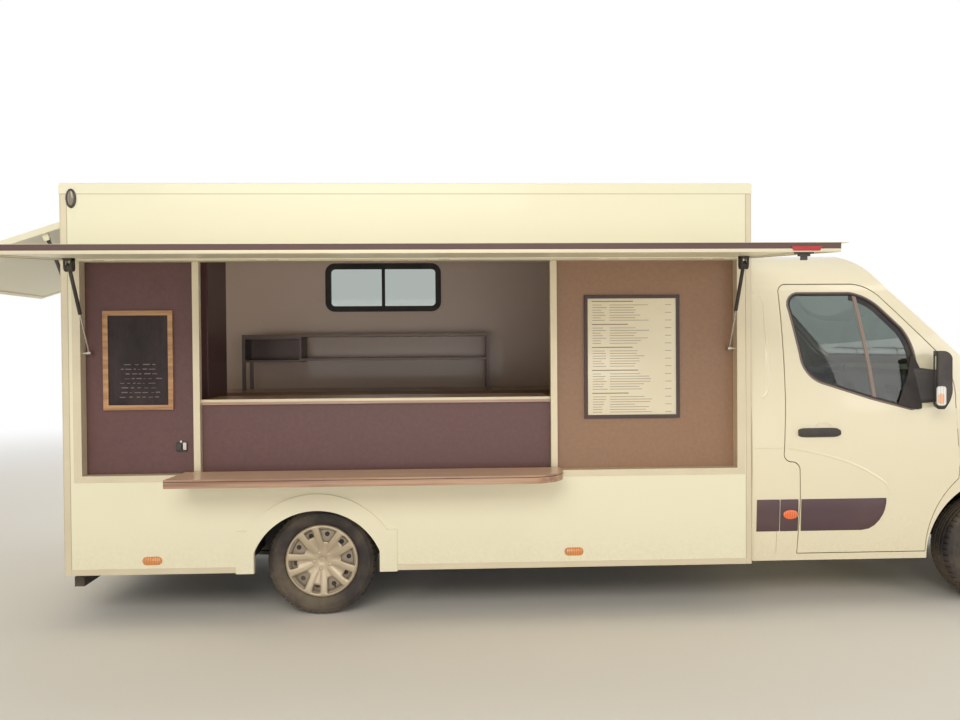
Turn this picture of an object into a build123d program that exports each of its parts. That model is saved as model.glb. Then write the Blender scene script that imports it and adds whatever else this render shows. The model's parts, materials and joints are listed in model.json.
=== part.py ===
from build123d import *
import os
from functools import cache
from math import cos, radians, sin

# Food truck: front-driven van cab with a box body, open at its right-hand side.
# Millimetres. X runs forward from the rear axle, Y to the left, Z up from the ground.

# Running gear
wheelbase = 4332
front_track = 1750
rear_track = 1730
tyre_radius = 340
tyre_width = 225
rim_radius = 203
trim_radius = 224
hub_radius = 62
wheel_arch_radius = 478
king_pin_inset = 60

# Box body
box_rear_x = -1535
box_length = 4230
box_width = 2150
box_bottom = 304
box_top = 2680
wall_thickness = 32
roof_thickness = 40
roof_rim_height = 68
skirt_height = 36
floor_top = 430
floor_thickness = 40
corner_width = 47

# Side opening and what fills it
opening_rear_x = -1418
opening_front_x = 2600
opening_bottom = 907
opening_top = 2205
frame_face = 40
frame_flange = 3
frame_web = 30
recess_depth = 75
post_width = 40
post_xs = (-738, 1457)
panel_thickness = 20
counter_top = 1359
counter_thickness = 31
counter_depth = 420
door_leaf_thickness = 24

# Side flap
flap_length = 1280
flap_thickness = 40
flap_overlap = 52
flap_droop = 4.5

# Rear hatch and half door
rear_opening_half_width = 930
rear_opening_bottom = 430
hatch_hinge_z = 2438
hatch_length = 1090
hatch_thickness = 38
hatch_droop = 18
half_door_thickness = 38

# Gas struts: pin along and below the flap, lower pin, size
strut_radius = 11
rod_radius = 5
eye_radius = 12
eye_width = 24
pin_gap = 0.3

# Serving shelf
shelf_rear_x = -845
shelf_front_x = 1490
shelf_depth = 318
shelf_top = 926
shelf_thickness = 50
shelf_corner = 220

# Cab
front_overhang = 842
cab_width = 2070
cab_roof_z = 2285
cab_bottom = 300
cab_skin = 40
door_thickness = 60
glass_thickness = 6
cab_gap = 14

arch_inner = 540
liner_thickness = 14
bulkhead_x = 4085
bulkhead_thickness = 25
bulkhead_top = 1600
cab_floor_z = 560
cab_floor = 30
sill_inside = 950
screen_from_x = 3340
screen_bottom = 1585
screen_top = 2165
screen_bottom_half = 905
screen_top_half = 775
bonnet_rear_x = 4225
bonnet_thickness = 30
headlamp_from_x = 4600
bumper_rear_x = 4790
bumper_top = 660
grille_half = 540
grille_top = 1000
grille_slots = 5
grille_pitch = 60
grille_slot = 34
glass_inset = 6
flange_lap = 20
flange_back = 25
door_flange = 10
bonnet_flange = 12
door_skin = 25
door_rim = 16
intake_levels = (395, 437, 479)
intake_half = 430
intake_height = 28
dash_half_width = 900
driver_y = 470
wheel_rake = 45
wheel_hub_x = 3674
wheel_hub_z = 1232
seat_z = 880
mirror_place = (3867, -1150, 1270)
mirror_toe = 25
mirror_half = 95
mirror_height = 357
mirror_lift = 12
seat_places = ((470, 520), (-360, 900))

# Chassis and axles
rail_inside = 400
rail_outside = 470
rail_bottom = 300
front_rail_bottom = 420
front_rail_top = 520
front_rail_end = 4990
cross_member_xs = (-1400, -700, 700, 1500, 2300)
beam_z = 225
beam_radius = 38
spring_reach = 640
spring_thickness = 24
knuckle_top = 560
ball_joint_top = 213
strut_y = 690
strut_top = 812

# Wheel details: disc and trim faces from the wheel's middle, trim windows as (radius, sideways)
bead_radius = 206
disc_offset = 50
trim_face = 84
wide_window = ((112, -20), (112, 20), (184, 51), (195, 0), (184, -51))
small_window = ((150, -20), (150, 20), (194, 24), (194, -24))
wheel_seam = 29

# Box body details
front_corner_width = 40
corner_radius = 14
roof_edge_radius = 12
skirt_depth = 30
vent_x = 900
vent_size = 400
vent_height = 60
housing_inside = 700
housing_reach = 420
housing_top = 740
housing_sheet = 20
arch_centre_x = -12
arch_centre_z = 261
arch_radius = 417
arch_half_width = 383
trim_outer_radius = 520
trim_foot = 491
trim_step_z = 557
trim_proud = 10
window_x = (-215, 730)
window_z = (2005, 2375)
window_radius = 60
back_top = 1330
back_joint_x = 1200
back_joint = (3, 1.5)
aisle_x = (-820, 2640)
aisle_y = (-600, 430)
aisle_sheet = 3
flange_reach = 48
panel_lap = 14
post_depth = 46

# Hinges: lugs on the body, barrels on what turns
hinge_radius = 4.5
lug_length = 70
pin_radius = 6
flap_axis_y = -box_width / 2 - 8
flap_axis_z = 2213
flap_lugs = (-1300, -260, 780, 1820, 2480)
hatch_axis_x = box_rear_x - 6
hatch_lugs = (-700, 0, 700)
half_door_axis_y = 948
half_door_lugs = (560, 1200)
door_axis_x = -1442
door_axis_y = -988
service_door_lugs = (1150, 1950)
bonnet_lugs = (-600, 600)
bonnet_axis_x = 4222
bonnet_axis_z = 1503
bonnet_web = 3.6
gap_pin_radius = 2.8
cab_door_axis = ((4048, 1035.9, 870), (4027, 1026.1, 1300))
cab_door_lugs = (60, 300)
cab_door_lug = 50
cab_door_barrel = 40

lug_half = 3.6
barrel_length = 60
flap_root = 7
shelf_axis_y = -box_width / 2 - 20
shelf_axis_z = 871
shelf_lugs = (-650, 200, 1050)
leaf_rim = 45
flap_dish = 6
rear_overlap = 20

# Kitchen seen through the opening
cupboard_x = (-1000, -840)
cupboard_y = (-400, 100)
cupboard_top = 2400
rack_x = (-770, 1150)
rack_y = (700, 1000)
rack_box_x = (-870, -390)
rack_top = 1785
rack_low = 1590
pane_margin = 26

# Lamps and rear bar
lamp_proud = 12
marker_places = ((-1006, 387), (1571, 400))
top_lamp_place = (-1460, 2585)
rear_lamp_depth = 24
bumper_bar_z = 235

# Strut sizes
flap_cylinder = 300
hatch_cylinder = 250
rod_clearance = 0.6
rod_overlap = 50

# Strut places: x beside the edge that carries its lower pin, and pins as (across, up)
flap_struts = ((-1383, -1418), (2565, 2600))
flap_pin_low = (-1035, 1652)
flap_pin_along = 215
flap_pin_below = 45
hatch_strut_y = 900
hatch_pin_low = (-1519, 1930)
hatch_pin_along = 155
hatch_pin_below = 28

# Clearances
run_gap = 6
seat_gap = 0.3

# Worked out from the sizes above
half_box = box_width / 2
half_cab = cab_width / 2
box_front_x = box_rear_x + box_length
cab_rear_x = box_front_x + cab_gap
cab_front_x = wheelbase + front_overhang
floor_bottom = floor_top - floor_thickness
wall_inside = half_box - wall_thickness
wall_top = box_top - roof_rim_height
wall_bottom = box_bottom + skirt_height
recess_y = -half_box + recess_depth
ALL_PARTS = {}


def slab(x, y, z, mode=Mode.ADD):
    """Box between two limits on each axis, in the part being built."""
    with Locations(((x[0] + x[1]) / 2, (y[0] + y[1]) / 2, (z[0] + z[1]) / 2)):
        Box(x[1] - x[0], y[1] - y[0], z[1] - z[0], mode=mode)


def bar(start, end, radius, mode=Mode.ADD):
    """Round bar from one point to another, in the part being built."""
    way = Vector(*end) - Vector(*start)
    with Locations(Plane(origin=start, z_dir=way)):
        Cylinder(radius, way.length, align=(Align.CENTER, Align.CENTER, Align.MIN), mode=mode)


def keep(name, built):
    """Label a finished piece and keep it for export."""
    built.part.label = name
    ALL_PARTS[name] = built.part


# Cab form: the side, front and plan outlines crossed with each other
with BuildSketch(Plane.XZ) as cab_side:
    with BuildLine():
        Line((cab_rear_x, cab_bottom), (cab_rear_x, cab_roof_z - 15))
        ThreePointArc((cab_rear_x, cab_roof_z - 15), (3030, cab_roof_z + 8), (3330, cab_roof_z - 8))
        ThreePointArc((3330, cab_roof_z - 8), (3460, 2212), (3570, 2105))
        Line((3570, 2105), (4105, 1562))
        ThreePointArc((4105, 1562), (4150, 1528), (4205, 1508))
        ThreePointArc((4205, 1508), (4620, 1385), (4935, 1165))
        ThreePointArc((4935, 1165), (5095, 930), (5150, 640))
        ThreePointArc((5150, 640), (cab_front_x, 480), (5140, 330))
        Polyline((5140, 330), (5060, cab_bottom - 40), (4830, cab_bottom - 40), (4790, cab_bottom))
        Line((4790, cab_bottom), (cab_rear_x, cab_bottom))
    make_face()

with BuildSketch(Plane.YZ) as cab_section:
    with BuildLine():
        Line((-half_cab + 50, cab_bottom - 60), (half_cab - 50, cab_bottom - 60))
        for side in (-1, 1):
            waist = (side * (half_cab - 12), 1330)
            sill = (side * (half_cab - 50), cab_bottom - 60)
            cantrail = (side * (half_cab - 132), 2020)
            ThreePointArc(sill, (side * (half_cab - 4), 720), waist)
            ThreePointArc(waist, (side * (half_cab - 55), 1690), cantrail)
            ThreePointArc(cantrail, (side * (half_cab - 190), 2180), (side * (half_cab - 360), 2262))
        ThreePointArc((-half_cab + 360, 2262), (0, cab_roof_z + 10), (half_cab - 360, 2262))
    make_face()

def cab_plan(inset):
    """The cab from above, its nose rounded, drawn in by about the inset."""
    flank = half_cab + 4 - inset
    nose = cab_front_x - inset
    with BuildSketch(Plane.XY) as plan:
        with BuildLine():
            Polyline((4500, -flank), (cab_rear_x + inset, -flank), (cab_rear_x + inset, flank), (4500, flank))
            for side in (-1, 1):
                bend = (4905 - 0.6 * inset, side * (915 - 0.8 * inset))
                ThreePointArc((4500, side * flank), bend, (nose - 69, side * (600 - 0.3 * inset)))
            ThreePointArc((nose - 69, -600 + 0.3 * inset), (nose, 0), (nose - 69, 600 - 0.3 * inset))
        make_face()
    return plan.sketch


@cache
def cab_form(inset):
    """The cab's closed outer form, drawn in by an even distance."""
    with BuildPart() as form:
        side = offset(cab_side.sketch, -inset, kind=Kind.INTERSECTION, mode=Mode.PRIVATE)
        extrude(side, cab_width, both=True)
        section = offset(cab_section.sketch, -inset, kind=Kind.INTERSECTION, mode=Mode.PRIVATE)
        extrude(section, cab_front_x + 100, dir=(1, 0, 0), mode=Mode.INTERSECT)
        extrude(cab_plan(inset), cab_roof_z + 200, dir=(0, 0, 1), mode=Mode.INTERSECT)
    return form.part


def front_arches(radius, inner, mode=Mode.SUBTRACT):
    """The two front wheel arches, open downwards, from an inner wall out past the side."""
    for side in (-1, 1):
        near = side * inner
        far = side * (half_cab + 100)
        across = (min(near, far), max(near, far))
        bar((wheelbase, near, tyre_radius), (wheelbase, far, tyre_radius), radius, mode=mode)
        slab((wheelbase - radius, wheelbase + radius), across, (0, tyre_radius), mode=mode)


def on_both_sides(near, far):
    """The span from near to far beside the centreline, to the right and to the left."""
    return ((-far, -near), (near, far))


def cab_hinge(side, start, length, toward):
    """A stretch of a cab door's hinge in the gap before the door, its web to the front (1) or back (-1)."""
    low, high = (Vector(x, side * y, z) for x, y, z in cab_door_axis)
    way = (high - low).normalized()
    bar(low + way * start, low + way * (start + length), gap_pin_radius)
    with Locations(Plane(origin=low + way * (start + length / 2), x_dir=(1, 0, -way.X / way.Z), z_dir=way)):
        Box(run_gap / 2 + 1, bonnet_web, length,
            align=(Align.MIN if toward > 0 else Align.MAX, Align.CENTER, Align.CENTER))


# Outlines cut out of the cab form
with BuildSketch(Plane.XZ) as door_outline:
    with BuildLine():
        Polyline((3840, 348), (3010, 348), (3022, 690), (3018, 880))
        ThreePointArc((3018, 880), (3003, 918), (2962, 936))
        ThreePointArc((2962, 936), (2927, 952), (2918, 1000))
        Polyline((2918, 1000), (2930, 1300), (2930, 2015))
        ThreePointArc((2930, 2015), (2943, 2046), (2974, 2058))
        Line((2974, 2058), (3400, 2058))
        ThreePointArc((3400, 2058), (3510, 2030), (3600, 1960))
        Line((3600, 1960), (3940, 1600))
        ThreePointArc((3940, 1600), (4000, 1480), (4024, 1300))
        Polyline((4024, 1300), (4045, 870), (4040, 815))
        ThreePointArc((4040, 815), (3895, 620), (3840, 348))
    make_face()

with BuildSketch(Plane.XZ) as window_outline:
    with BuildLine():
        Line((3035, 1607), (2985, 1895))
        ThreePointArc((2985, 1895), (3000, 1980), (3072, 2003))
        Line((3072, 2003), (3390, 2003))
        ThreePointArc((3390, 2003), (3500, 1965), (3590, 1892))
        Line((3590, 1892), (3702, 1775))
        ThreePointArc((3702, 1775), (3760, 1660), (3777, 1540))
        Line((3777, 1540), (3776, 1285))
        ThreePointArc((3776, 1285), (3758, 1262), (3723, 1262))
        Polyline((3723, 1262), (3491, 1324), (3166, 1429))
        ThreePointArc((3166, 1429), (3080, 1490), (3035, 1607))
    make_face()

with BuildSketch(Plane.YZ.offset(screen_from_x)) as windscreen_outline:
    with BuildLine():
        Polyline((-screen_bottom_half, screen_bottom), (screen_bottom_half, screen_bottom),
                 (screen_top_half, screen_top), (-screen_top_half, screen_top), close=True)
    make_face()
    fillet(windscreen_outline.vertices(), 60)

with BuildSketch(Plane.XY) as bonnet_outline:
    with BuildLine():
        Line((bonnet_rear_x, -870), (bonnet_rear_x, 870))
        for side in (-1, 1):
            ThreePointArc((bonnet_rear_x, side * 870), (4600, side * 840), (4905, side * 690))
        ThreePointArc((4905, -690), (4965, 0), (4905, 690))
    make_face()

with BuildSketch(Plane.YZ.offset(headlamp_from_x)) as headlamp_outline:
    for side in (-1, 1):
        with BuildLine():
            Polyline((side * 560, 720), (side * 900, 780), (side * 990, 960), (side * 940, 1010),
                     (side * 700, 930), (side * 560, 860), (side * 560, 720))
        make_face()

cab_outer = cab_form(0)
cab_inner = cab_form(cab_skin)

# Material of the two cab doors' zone, a little deeper than the doors
with BuildPart() as door_openings:
    add(cab_outer)
    add(cab_form(door_thickness + run_gap), mode=Mode.SUBTRACT)
    slab((cab_rear_x - 10, 4200), (-700, 700), (0, 2400), mode=Mode.SUBTRACT)
    slab((cab_rear_x - 10, 4200), (-sill_inside, sill_inside), (0, cab_floor_z - cab_floor), mode=Mode.SUBTRACT)
    door_hole = offset(door_outline.sketch, run_gap, mode=Mode.PRIVATE)
    extrude(door_hole, cab_width, both=True, mode=Mode.INTERSECT)

# What the doors lack behind their outer skin, all round their edge, to clear the shell as they turn
with BuildPart() as door_rims:
    add(cab_form(door_skin))
    extrude(door_outline.sketch, cab_width, both=True, mode=Mode.INTERSECT)
    extrude(offset(door_outline.sketch, -door_rim, mode=Mode.PRIVATE), cab_width, both=True,
            mode=Mode.SUBTRACT)

# Flanges that the doors and the bonnet shut against, on the inside of the skin
with BuildPart() as door_flanges:
    add(cab_inner)
    add(cab_form(door_thickness + run_gap + door_flange), mode=Mode.SUBTRACT)
    slab((cab_rear_x - 10, 4200), (-700, 700), (0, 2400), mode=Mode.SUBTRACT)
    extrude(offset(door_outline.sketch, run_gap + flange_back, mode=Mode.PRIVATE), cab_width, both=True,
            mode=Mode.INTERSECT)
    extrude(offset(door_outline.sketch, -flange_lap, mode=Mode.PRIVATE), cab_width, both=True,
            mode=Mode.SUBTRACT)

bonnet_at = Location((0, 0, 1050))
bonnet_lap = offset(bonnet_outline.sketch, -flange_lap, mode=Mode.PRIVATE).moved(bonnet_at)
with BuildPart() as bonnet_flanges:
    add(cab_inner)
    add(cab_form(bonnet_thickness + run_gap + bonnet_flange), mode=Mode.SUBTRACT)
    rim = offset(bonnet_outline.sketch, run_gap + flange_lap, mode=Mode.PRIVATE)
    extrude(rim.moved(bonnet_at), 600, dir=(0, 0, 1), mode=Mode.INTERSECT)
    extrude(bonnet_lap, 600, dir=(0, 0, 1), mode=Mode.SUBTRACT)

with BuildPart() as cab_cavity:
    add(cab_inner)
    add(door_flanges.part, mode=Mode.SUBTRACT)
    add(bonnet_flanges.part, mode=Mode.SUBTRACT)
    front_arches(wheel_arch_radius + liner_thickness, arch_inner - liner_thickness)
    slab((bulkhead_x, bulkhead_x + bulkhead_thickness), (-cab_width, cab_width), (cab_floor_z, bulkhead_top),
         mode=Mode.SUBTRACT)
    slab((cab_rear_x, bulkhead_x + bulkhead_thickness), (-cab_width, cab_width),
         (cab_floor_z - cab_floor, cab_floor_z), mode=Mode.SUBTRACT)

# Skin zones that other panels fill
with BuildPart() as windscreen_zone:
    extrude(windscreen_outline.sketch, 1000)

with BuildPart() as bonnet_zone:
    bonnet_hole = offset(bonnet_outline.sketch, run_gap, mode=Mode.PRIVATE)
    extrude(bonnet_hole.moved(bonnet_at), 600, dir=(0, 0, 1))
    add(cab_form(bonnet_thickness + run_gap), mode=Mode.SUBTRACT)
    extrude(bonnet_lap, 600, dir=(0, 0, 1))

with BuildPart() as headlamp_zone:
    extrude(headlamp_outline.sketch, 700)

with BuildPart() as cab_shell:
    add(cab_outer)
    add(cab_cavity.part, mode=Mode.SUBTRACT)
    front_arches(wheel_arch_radius, arch_inner)
    add(door_openings.part, mode=Mode.SUBTRACT)
    slab((cab_rear_x - 1, 3830), (-sill_inside, sill_inside), (0, cab_floor_z - cab_floor),
         mode=Mode.SUBTRACT)
    slab((3800, bumper_rear_x), (-arch_inner + liner_thickness, arch_inner - liner_thickness), (0, 420),
         mode=Mode.SUBTRACT)
    slab((wheelbase - 200, wheelbase + 200), (-arch_inner - 1, arch_inner + 1), (0, 430), mode=Mode.SUBTRACT)
    for zone in (windscreen_zone, bonnet_zone, headlamp_zone):
        add(zone.part, mode=Mode.SUBTRACT)
    slab((bumper_rear_x, cab_front_x + 10), (-cab_width, cab_width), (0, bumper_top), mode=Mode.SUBTRACT)
    slab((4900, cab_front_x + 10), (-grille_half, grille_half), (bumper_top, grille_top), mode=Mode.SUBTRACT)
    for middle in bonnet_lugs:
        ends = (middle - lug_length / 2, middle + lug_length / 2)
        bar((bonnet_axis_x, ends[0], bonnet_axis_z), (bonnet_axis_x, ends[1], bonnet_axis_z), gap_pin_radius)
        slab((bonnet_axis_x - bonnet_web / 2, bonnet_axis_x + bonnet_web / 2), ends,
             (bonnet_axis_z - bonnet_thickness - run_gap - bonnet_flange / 2, bonnet_axis_z))
    for side in (-1, 1):
        for start in cab_door_lugs:
            cab_hinge(side, start, cab_door_lug, 1)
keep("cab_shell", cab_shell)

with BuildPart() as windscreen:
    add(cab_form(glass_inset))
    add(cab_form(glass_inset + glass_thickness), mode=Mode.SUBTRACT)
    add(windscreen_zone.part, mode=Mode.INTERSECT)
keep("windscreen", windscreen)

with BuildPart() as bonnet:
    add(cab_outer)
    add(cab_form(bonnet_thickness), mode=Mode.SUBTRACT)
    extrude(bonnet_outline.sketch.moved(bonnet_at), 600, dir=(0, 0, 1), mode=Mode.INTERSECT)
    for middle in bonnet_lugs:
        for low in (middle - lug_length / 2 - pin_gap - barrel_length, middle + lug_length / 2 + pin_gap):
            ends = (low, low + barrel_length)
            bar((bonnet_axis_x, ends[0], bonnet_axis_z), (bonnet_axis_x, ends[1], bonnet_axis_z),
                gap_pin_radius)
            slab((bonnet_axis_x, bonnet_rear_x + 1), ends, (bonnet_axis_z - bonnet_web, bonnet_axis_z))
keep("bonnet", bonnet)

with BuildPart() as front_bumper:
    add(cab_outer)
    add(cab_inner, mode=Mode.SUBTRACT)
    slab((bumper_rear_x, cab_front_x + 10), (-cab_width, cab_width), (0, bumper_top), mode=Mode.INTERSECT)
    front_arches(wheel_arch_radius, arch_inner)
    slab((bumper_rear_x - 1, 5040), (-arch_inner + liner_thickness, arch_inner - liner_thickness), (0, 420),
         mode=Mode.SUBTRACT)
    for low in intake_levels:
        slab((5000, cab_front_x + 10), (-intake_half, intake_half), (low, low + intake_height),
             mode=Mode.SUBTRACT)
keep("front_bumper", front_bumper)

with BuildPart() as grille:
    add(cab_form(12))
    add(cab_form(30), mode=Mode.SUBTRACT)
    slab((4900, cab_front_x + 10), (-grille_half, grille_half), (bumper_top, grille_top), mode=Mode.INTERSECT)
    for level in range(grille_slots):
        low = bumper_top + 20 + level * grille_pitch
        slab((4900, cab_front_x), (25 - grille_half, grille_half - 25), (low, low + grille_slot),
             mode=Mode.SUBTRACT)
keep("grille", grille)

with BuildPart() as headlamps:
    add(cab_form(3))
    add(cab_inner, mode=Mode.SUBTRACT)
    add(headlamp_zone.part, mode=Mode.INTERSECT)
keep("headlamps", headlamps)

# Mirror, drawn for the right-hand door: a head turned to the driver, an arm and a base on the window's corner
with BuildPart() as mirror_base:
    with BuildSketch(Plane.XZ.offset(900)):
        with BuildLine():
            Polyline((3650, 1290), (3770, 1256), (3800, 1262), (3806, 1500), (3762, 1600), (3742, 1590),
                     (3722, 1480), (3650, 1290))
        make_face()
    extrude(amount=200)
    add(cab_form(-mirror_lift), mode=Mode.INTERSECT)

toe = radians(mirror_toe)
with BuildPart() as mirror_form:
    forward = (cos(toe), -sin(toe), 0)
    with BuildSketch(Plane(origin=mirror_place, x_dir=forward, z_dir=(-sin(toe), -cos(toe), 0))):
        with BuildLine():
            Polyline((-42, 12), (-42, mirror_height), (5, mirror_height))
            ThreePointArc((5, mirror_height), (34, mirror_height - 18), (46, mirror_height - 60))
            Line((46, mirror_height - 60), (46, 150))
            ThreePointArc((46, 150), (36, 60), (4, 0))
            Polyline((4, 0), (-32, 0), (-42, 12))
        make_face()
    extrude(amount=mirror_half, both=True)
    fillet(mirror_form.faces().sort_by(Axis.Y)[0].edges(), 14)
    with Locations(Plane(origin=mirror_place, x_dir=forward, z_dir=(0, 0, 1))):
        with Locations((-42, -3, 26)):
            Box(12, 2 * mirror_half - 44, mirror_height - 52, align=(Align.CENTER, Align.CENTER, Align.MIN),
                mode=Mode.SUBTRACT)
    with BuildSketch(Plane.XZ.offset(1000)) as foot:
        with Locations((3755, 1405)):
            RectangleRounded(90, 235, 20)
    with BuildSketch(Plane.XZ.offset(1070)) as wrist:
        with Locations((3905, 1405)):
            RectangleRounded(66, 190, 20)
    loft([foot.sketch, wrist.sketch])
    add(mirror_base.part)
    add(cab_form(-seat_gap), mode=Mode.SUBTRACT)

# Cab doors, their glass and mirrors
other_side = {-1: (0, cab_width), 1: (-cab_width, 0)}
for name, side in (("right", -1), ("left", 1)):
    with BuildPart() as door:
        add(cab_outer)
        add(cab_form(door_thickness), mode=Mode.SUBTRACT)
        slab((cab_rear_x - 10, 4200), (-700, 700), (0, 2400), mode=Mode.SUBTRACT)
        slab((cab_rear_x - 10, 4200), other_side[side], (0, 2400), mode=Mode.SUBTRACT)
        slab((cab_rear_x - 10, 4200), (-sill_inside, sill_inside), (0, cab_floor_z - cab_floor),
             mode=Mode.SUBTRACT)
        extrude(door_outline.sketch, cab_width, both=True, mode=Mode.INTERSECT)
        add(door_rims.part, mode=Mode.SUBTRACT)
        extrude(window_outline.sketch, cab_width, both=True, mode=Mode.SUBTRACT)
        for start in cab_door_lugs:
            cab_hinge(side, start - pin_gap - cab_door_barrel, cab_door_barrel, -1)
            cab_hinge(side, start + cab_door_lug + pin_gap, cab_door_barrel, -1)
    keep("door_" + name, door)

    with BuildPart() as glass:
        add(cab_form(glass_inset))
        add(cab_form(glass_inset + glass_thickness), mode=Mode.SUBTRACT)
        slab((cab_rear_x - 10, 4200), (-700, 700), (0, 2400), mode=Mode.SUBTRACT)
        slab((cab_rear_x - 10, 4200), other_side[side], (0, 2400), mode=Mode.SUBTRACT)
        pane = offset(window_outline.sketch, -seat_gap, mode=Mode.PRIVATE)
        extrude(pane, cab_width, both=True, mode=Mode.INTERSECT)
    keep("door_glass_" + name, glass)

    with BuildPart() as mirror_case:
        add(mirror_form.part if side < 0 else mirror(mirror_form.part, about=Plane.XZ, mode=Mode.PRIVATE))
    keep("mirror_" + name, mirror_case)

# Cab inside: dashboard, steering wheel, seats
wheel_axis = Vector(-cos(radians(wheel_rake)), 0, sin(radians(wheel_rake)))
wheel_hub = Vector(wheel_hub_x, driver_y, wheel_hub_z)
with BuildPart() as dashboard:
    with BuildSketch(Plane.XZ):
        with BuildLine():
            Polyline((bulkhead_x, 900), (bulkhead_x, 1490), (3960, 1465))
            ThreePointArc((3960, 1465), (3800, 1400), (3730, 1270))
            ThreePointArc((3730, 1270), (3745, 1130), (3830, 1040))
            Polyline((3830, 1040), (3960, 900), (bulkhead_x, 900))
        make_face()
    extrude(amount=dash_half_width, both=True)
    bar(wheel_hub - wheel_axis * 200, wheel_hub - wheel_axis * seat_gap, 34)
keep("dashboard", dashboard)

rim_centre = wheel_hub + wheel_axis * 60
with BuildPart() as steering_wheel:
    with Locations(Plane(origin=wheel_hub, z_dir=wheel_axis)):
        Cylinder(28, 60, align=(Align.CENTER, Align.CENTER, Align.MIN))
    with Locations(Plane(origin=rim_centre, z_dir=wheel_axis)):
        Torus(195, 15)
        Cylinder(70, 26)
        with PolarLocations(120, 3, start_angle=90):
            Box(140, 34, 14)
keep("steering_wheel", steering_wheel)

with BuildPart() as seats:
    for middle, width in seat_places:
        with BuildSketch(Plane.XZ.offset(-middle)):
            with BuildLine():
                Polyline((2960, seat_z), (3500, seat_z + 10), (3520, seat_z + 110))
                ThreePointArc((3520, seat_z + 110), (3480, seat_z + 155), (3400, seat_z + 150))
                Polyline((3400, seat_z + 150), (3040, seat_z + 120), (2900, seat_z + 800))
                ThreePointArc((2900, seat_z + 800), (2850, seat_z + 840), (2800, seat_z + 800))
                Polyline((2800, seat_z + 800), (2900, seat_z + 60), (2960, seat_z))
            make_face()
        extrude(amount=width / 2, both=True)
        slab((2990, 3420), (middle - width / 2 + 40, middle + width / 2 - 40), (cab_floor_z, seat_z + 5))
keep("seats", seats)

# Chassis
with BuildPart() as chassis_frame:
    for near, far in on_both_sides(rail_inside, rail_outside):
        with BuildSketch(Plane.XZ.offset(-near)):
            with BuildLine():
                Polyline((box_rear_x + 50, rail_bottom), (3620, rail_bottom), (3860, front_rail_bottom),
                         (front_rail_end, front_rail_bottom), (front_rail_end, front_rail_top),
                         (3820, front_rail_top), (3560, floor_bottom), (box_rear_x + 50, floor_bottom),
                         (box_rear_x + 50, rail_bottom))
            make_face()
        extrude(amount=near - far)
        for x in (2850, 3500):
            slab((x, x + 90), (near, far), (floor_bottom, cab_floor_z - cab_floor))
        slab((3930, 4020), (near, far), (front_rail_top, cab_floor_z - cab_floor))
    for x in cross_member_xs:
        slab((x - 30, x + 30), (-rail_inside, rail_inside), (rail_bottom + 10, floor_bottom - 10))
    slab((front_rail_end - 60, front_rail_end), (-620, 620), (front_rail_bottom, front_rail_top))
    # Front cross member, lower arms and suspension struts
    slab((wheelbase - 170, wheelbase + 190), (-rail_outside, rail_outside), (330, front_rail_bottom))
    for side in (-1, 1):
        king_pin_y = side * (front_track / 2 - king_pin_inset)
        bar((wheelbase, side * (rail_outside - 20), 345), (wheelbase, king_pin_y - side * 30, 198), 15)
        with Locations((wheelbase, king_pin_y, ball_joint_top - 13)):
            Cylinder(30, 26)
        strut = (wheelbase, side * strut_y)
        bar((*strut, knuckle_top + seat_gap), (*strut, knuckle_top + 90), 26)
        bar((*strut, knuckle_top + 90), (*strut, strut_top - 20), 20)
        with Locations((wheelbase, side * strut_y, strut_top - 13)):
            Cylinder(60, 26)
    # Rear bar on its two brackets
    slab((box_rear_x + 10, box_rear_x + 70), (-950, 950), (bumper_bar_z - 30, bumper_bar_z + 30))
    for near, far in on_both_sides(rail_inside + 8, rail_outside - 8):
        slab((box_rear_x + 52, box_rear_x + 66), (near, far), (bumper_bar_z + 30, rail_bottom + 1))
keep("chassis_frame", chassis_frame)

with BuildPart() as engine_block:
    slab((wheelbase - 180, wheelbase + 330), (-rail_inside + 20, rail_inside - 20), (front_rail_bottom, 1010))
    fillet(engine_block.edges().filter_by(Axis.Z), 40)
keep("engine_block", engine_block)

with BuildPart() as rear_axle:
    bar((0, -650, beam_z), (0, 650, beam_z), beam_radius)
    for side in (-1, 1):
        slab((-55, 55), tuple(sorted((side * 640, side * 672))), (beam_z - 35, floor_bottom - 6))
        hub_face = rear_track / 2 + disc_offset - seat_gap
        bar((0, side * 660, tyre_radius), (0, side * hub_face, tyre_radius), 45)
        bar((0, side * (hub_face - 18), tyre_radius), (0, side * hub_face, tyre_radius), hub_radius)
    for near, far in on_both_sides(rail_inside + 5, rail_outside - 5):
        with BuildSketch(Plane.XZ.offset(-near)):
            with BuildLine():
                spring_low = beam_z + beam_radius - 6
                ThreePointArc((-spring_reach, rail_bottom), (0, spring_low + spring_thickness),
                              (spring_reach, rail_bottom))
                Line((spring_reach, rail_bottom), (spring_reach, rail_bottom - spring_thickness))
                ThreePointArc((spring_reach, rail_bottom - spring_thickness), (0, spring_low),
                              (-spring_reach, rail_bottom - spring_thickness))
                Line((-spring_reach, rail_bottom - spring_thickness), (-spring_reach, rail_bottom))
            make_face()
        extrude(amount=near - far)
keep("rear_axle", rear_axle)

for name, side in (("right", -1), ("left", 1)):
    hub_face = front_track / 2 + disc_offset - seat_gap
    with BuildPart() as knuckle:
        bar((wheelbase, side * 735, tyre_radius), (wheelbase, side * hub_face, tyre_radius), 48)
        bar((wheelbase, side * (hub_face - 18), tyre_radius), (wheelbase, side * hub_face, tyre_radius),
            hub_radius)
        bar((wheelbase, side * 850, tyre_radius), (wheelbase, side * 862, tyre_radius), 145)
        slab((wheelbase - 40, wheelbase + 40), tuple(sorted((side * 670, side * 740))), (300, knuckle_top))
        king_pin_y = side * (front_track / 2 - king_pin_inset)
        bar((wheelbase, king_pin_y, ball_joint_top + seat_gap), (wheelbase, king_pin_y, tyre_radius), 26)
    keep("knuckle_" + name, knuckle)

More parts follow.
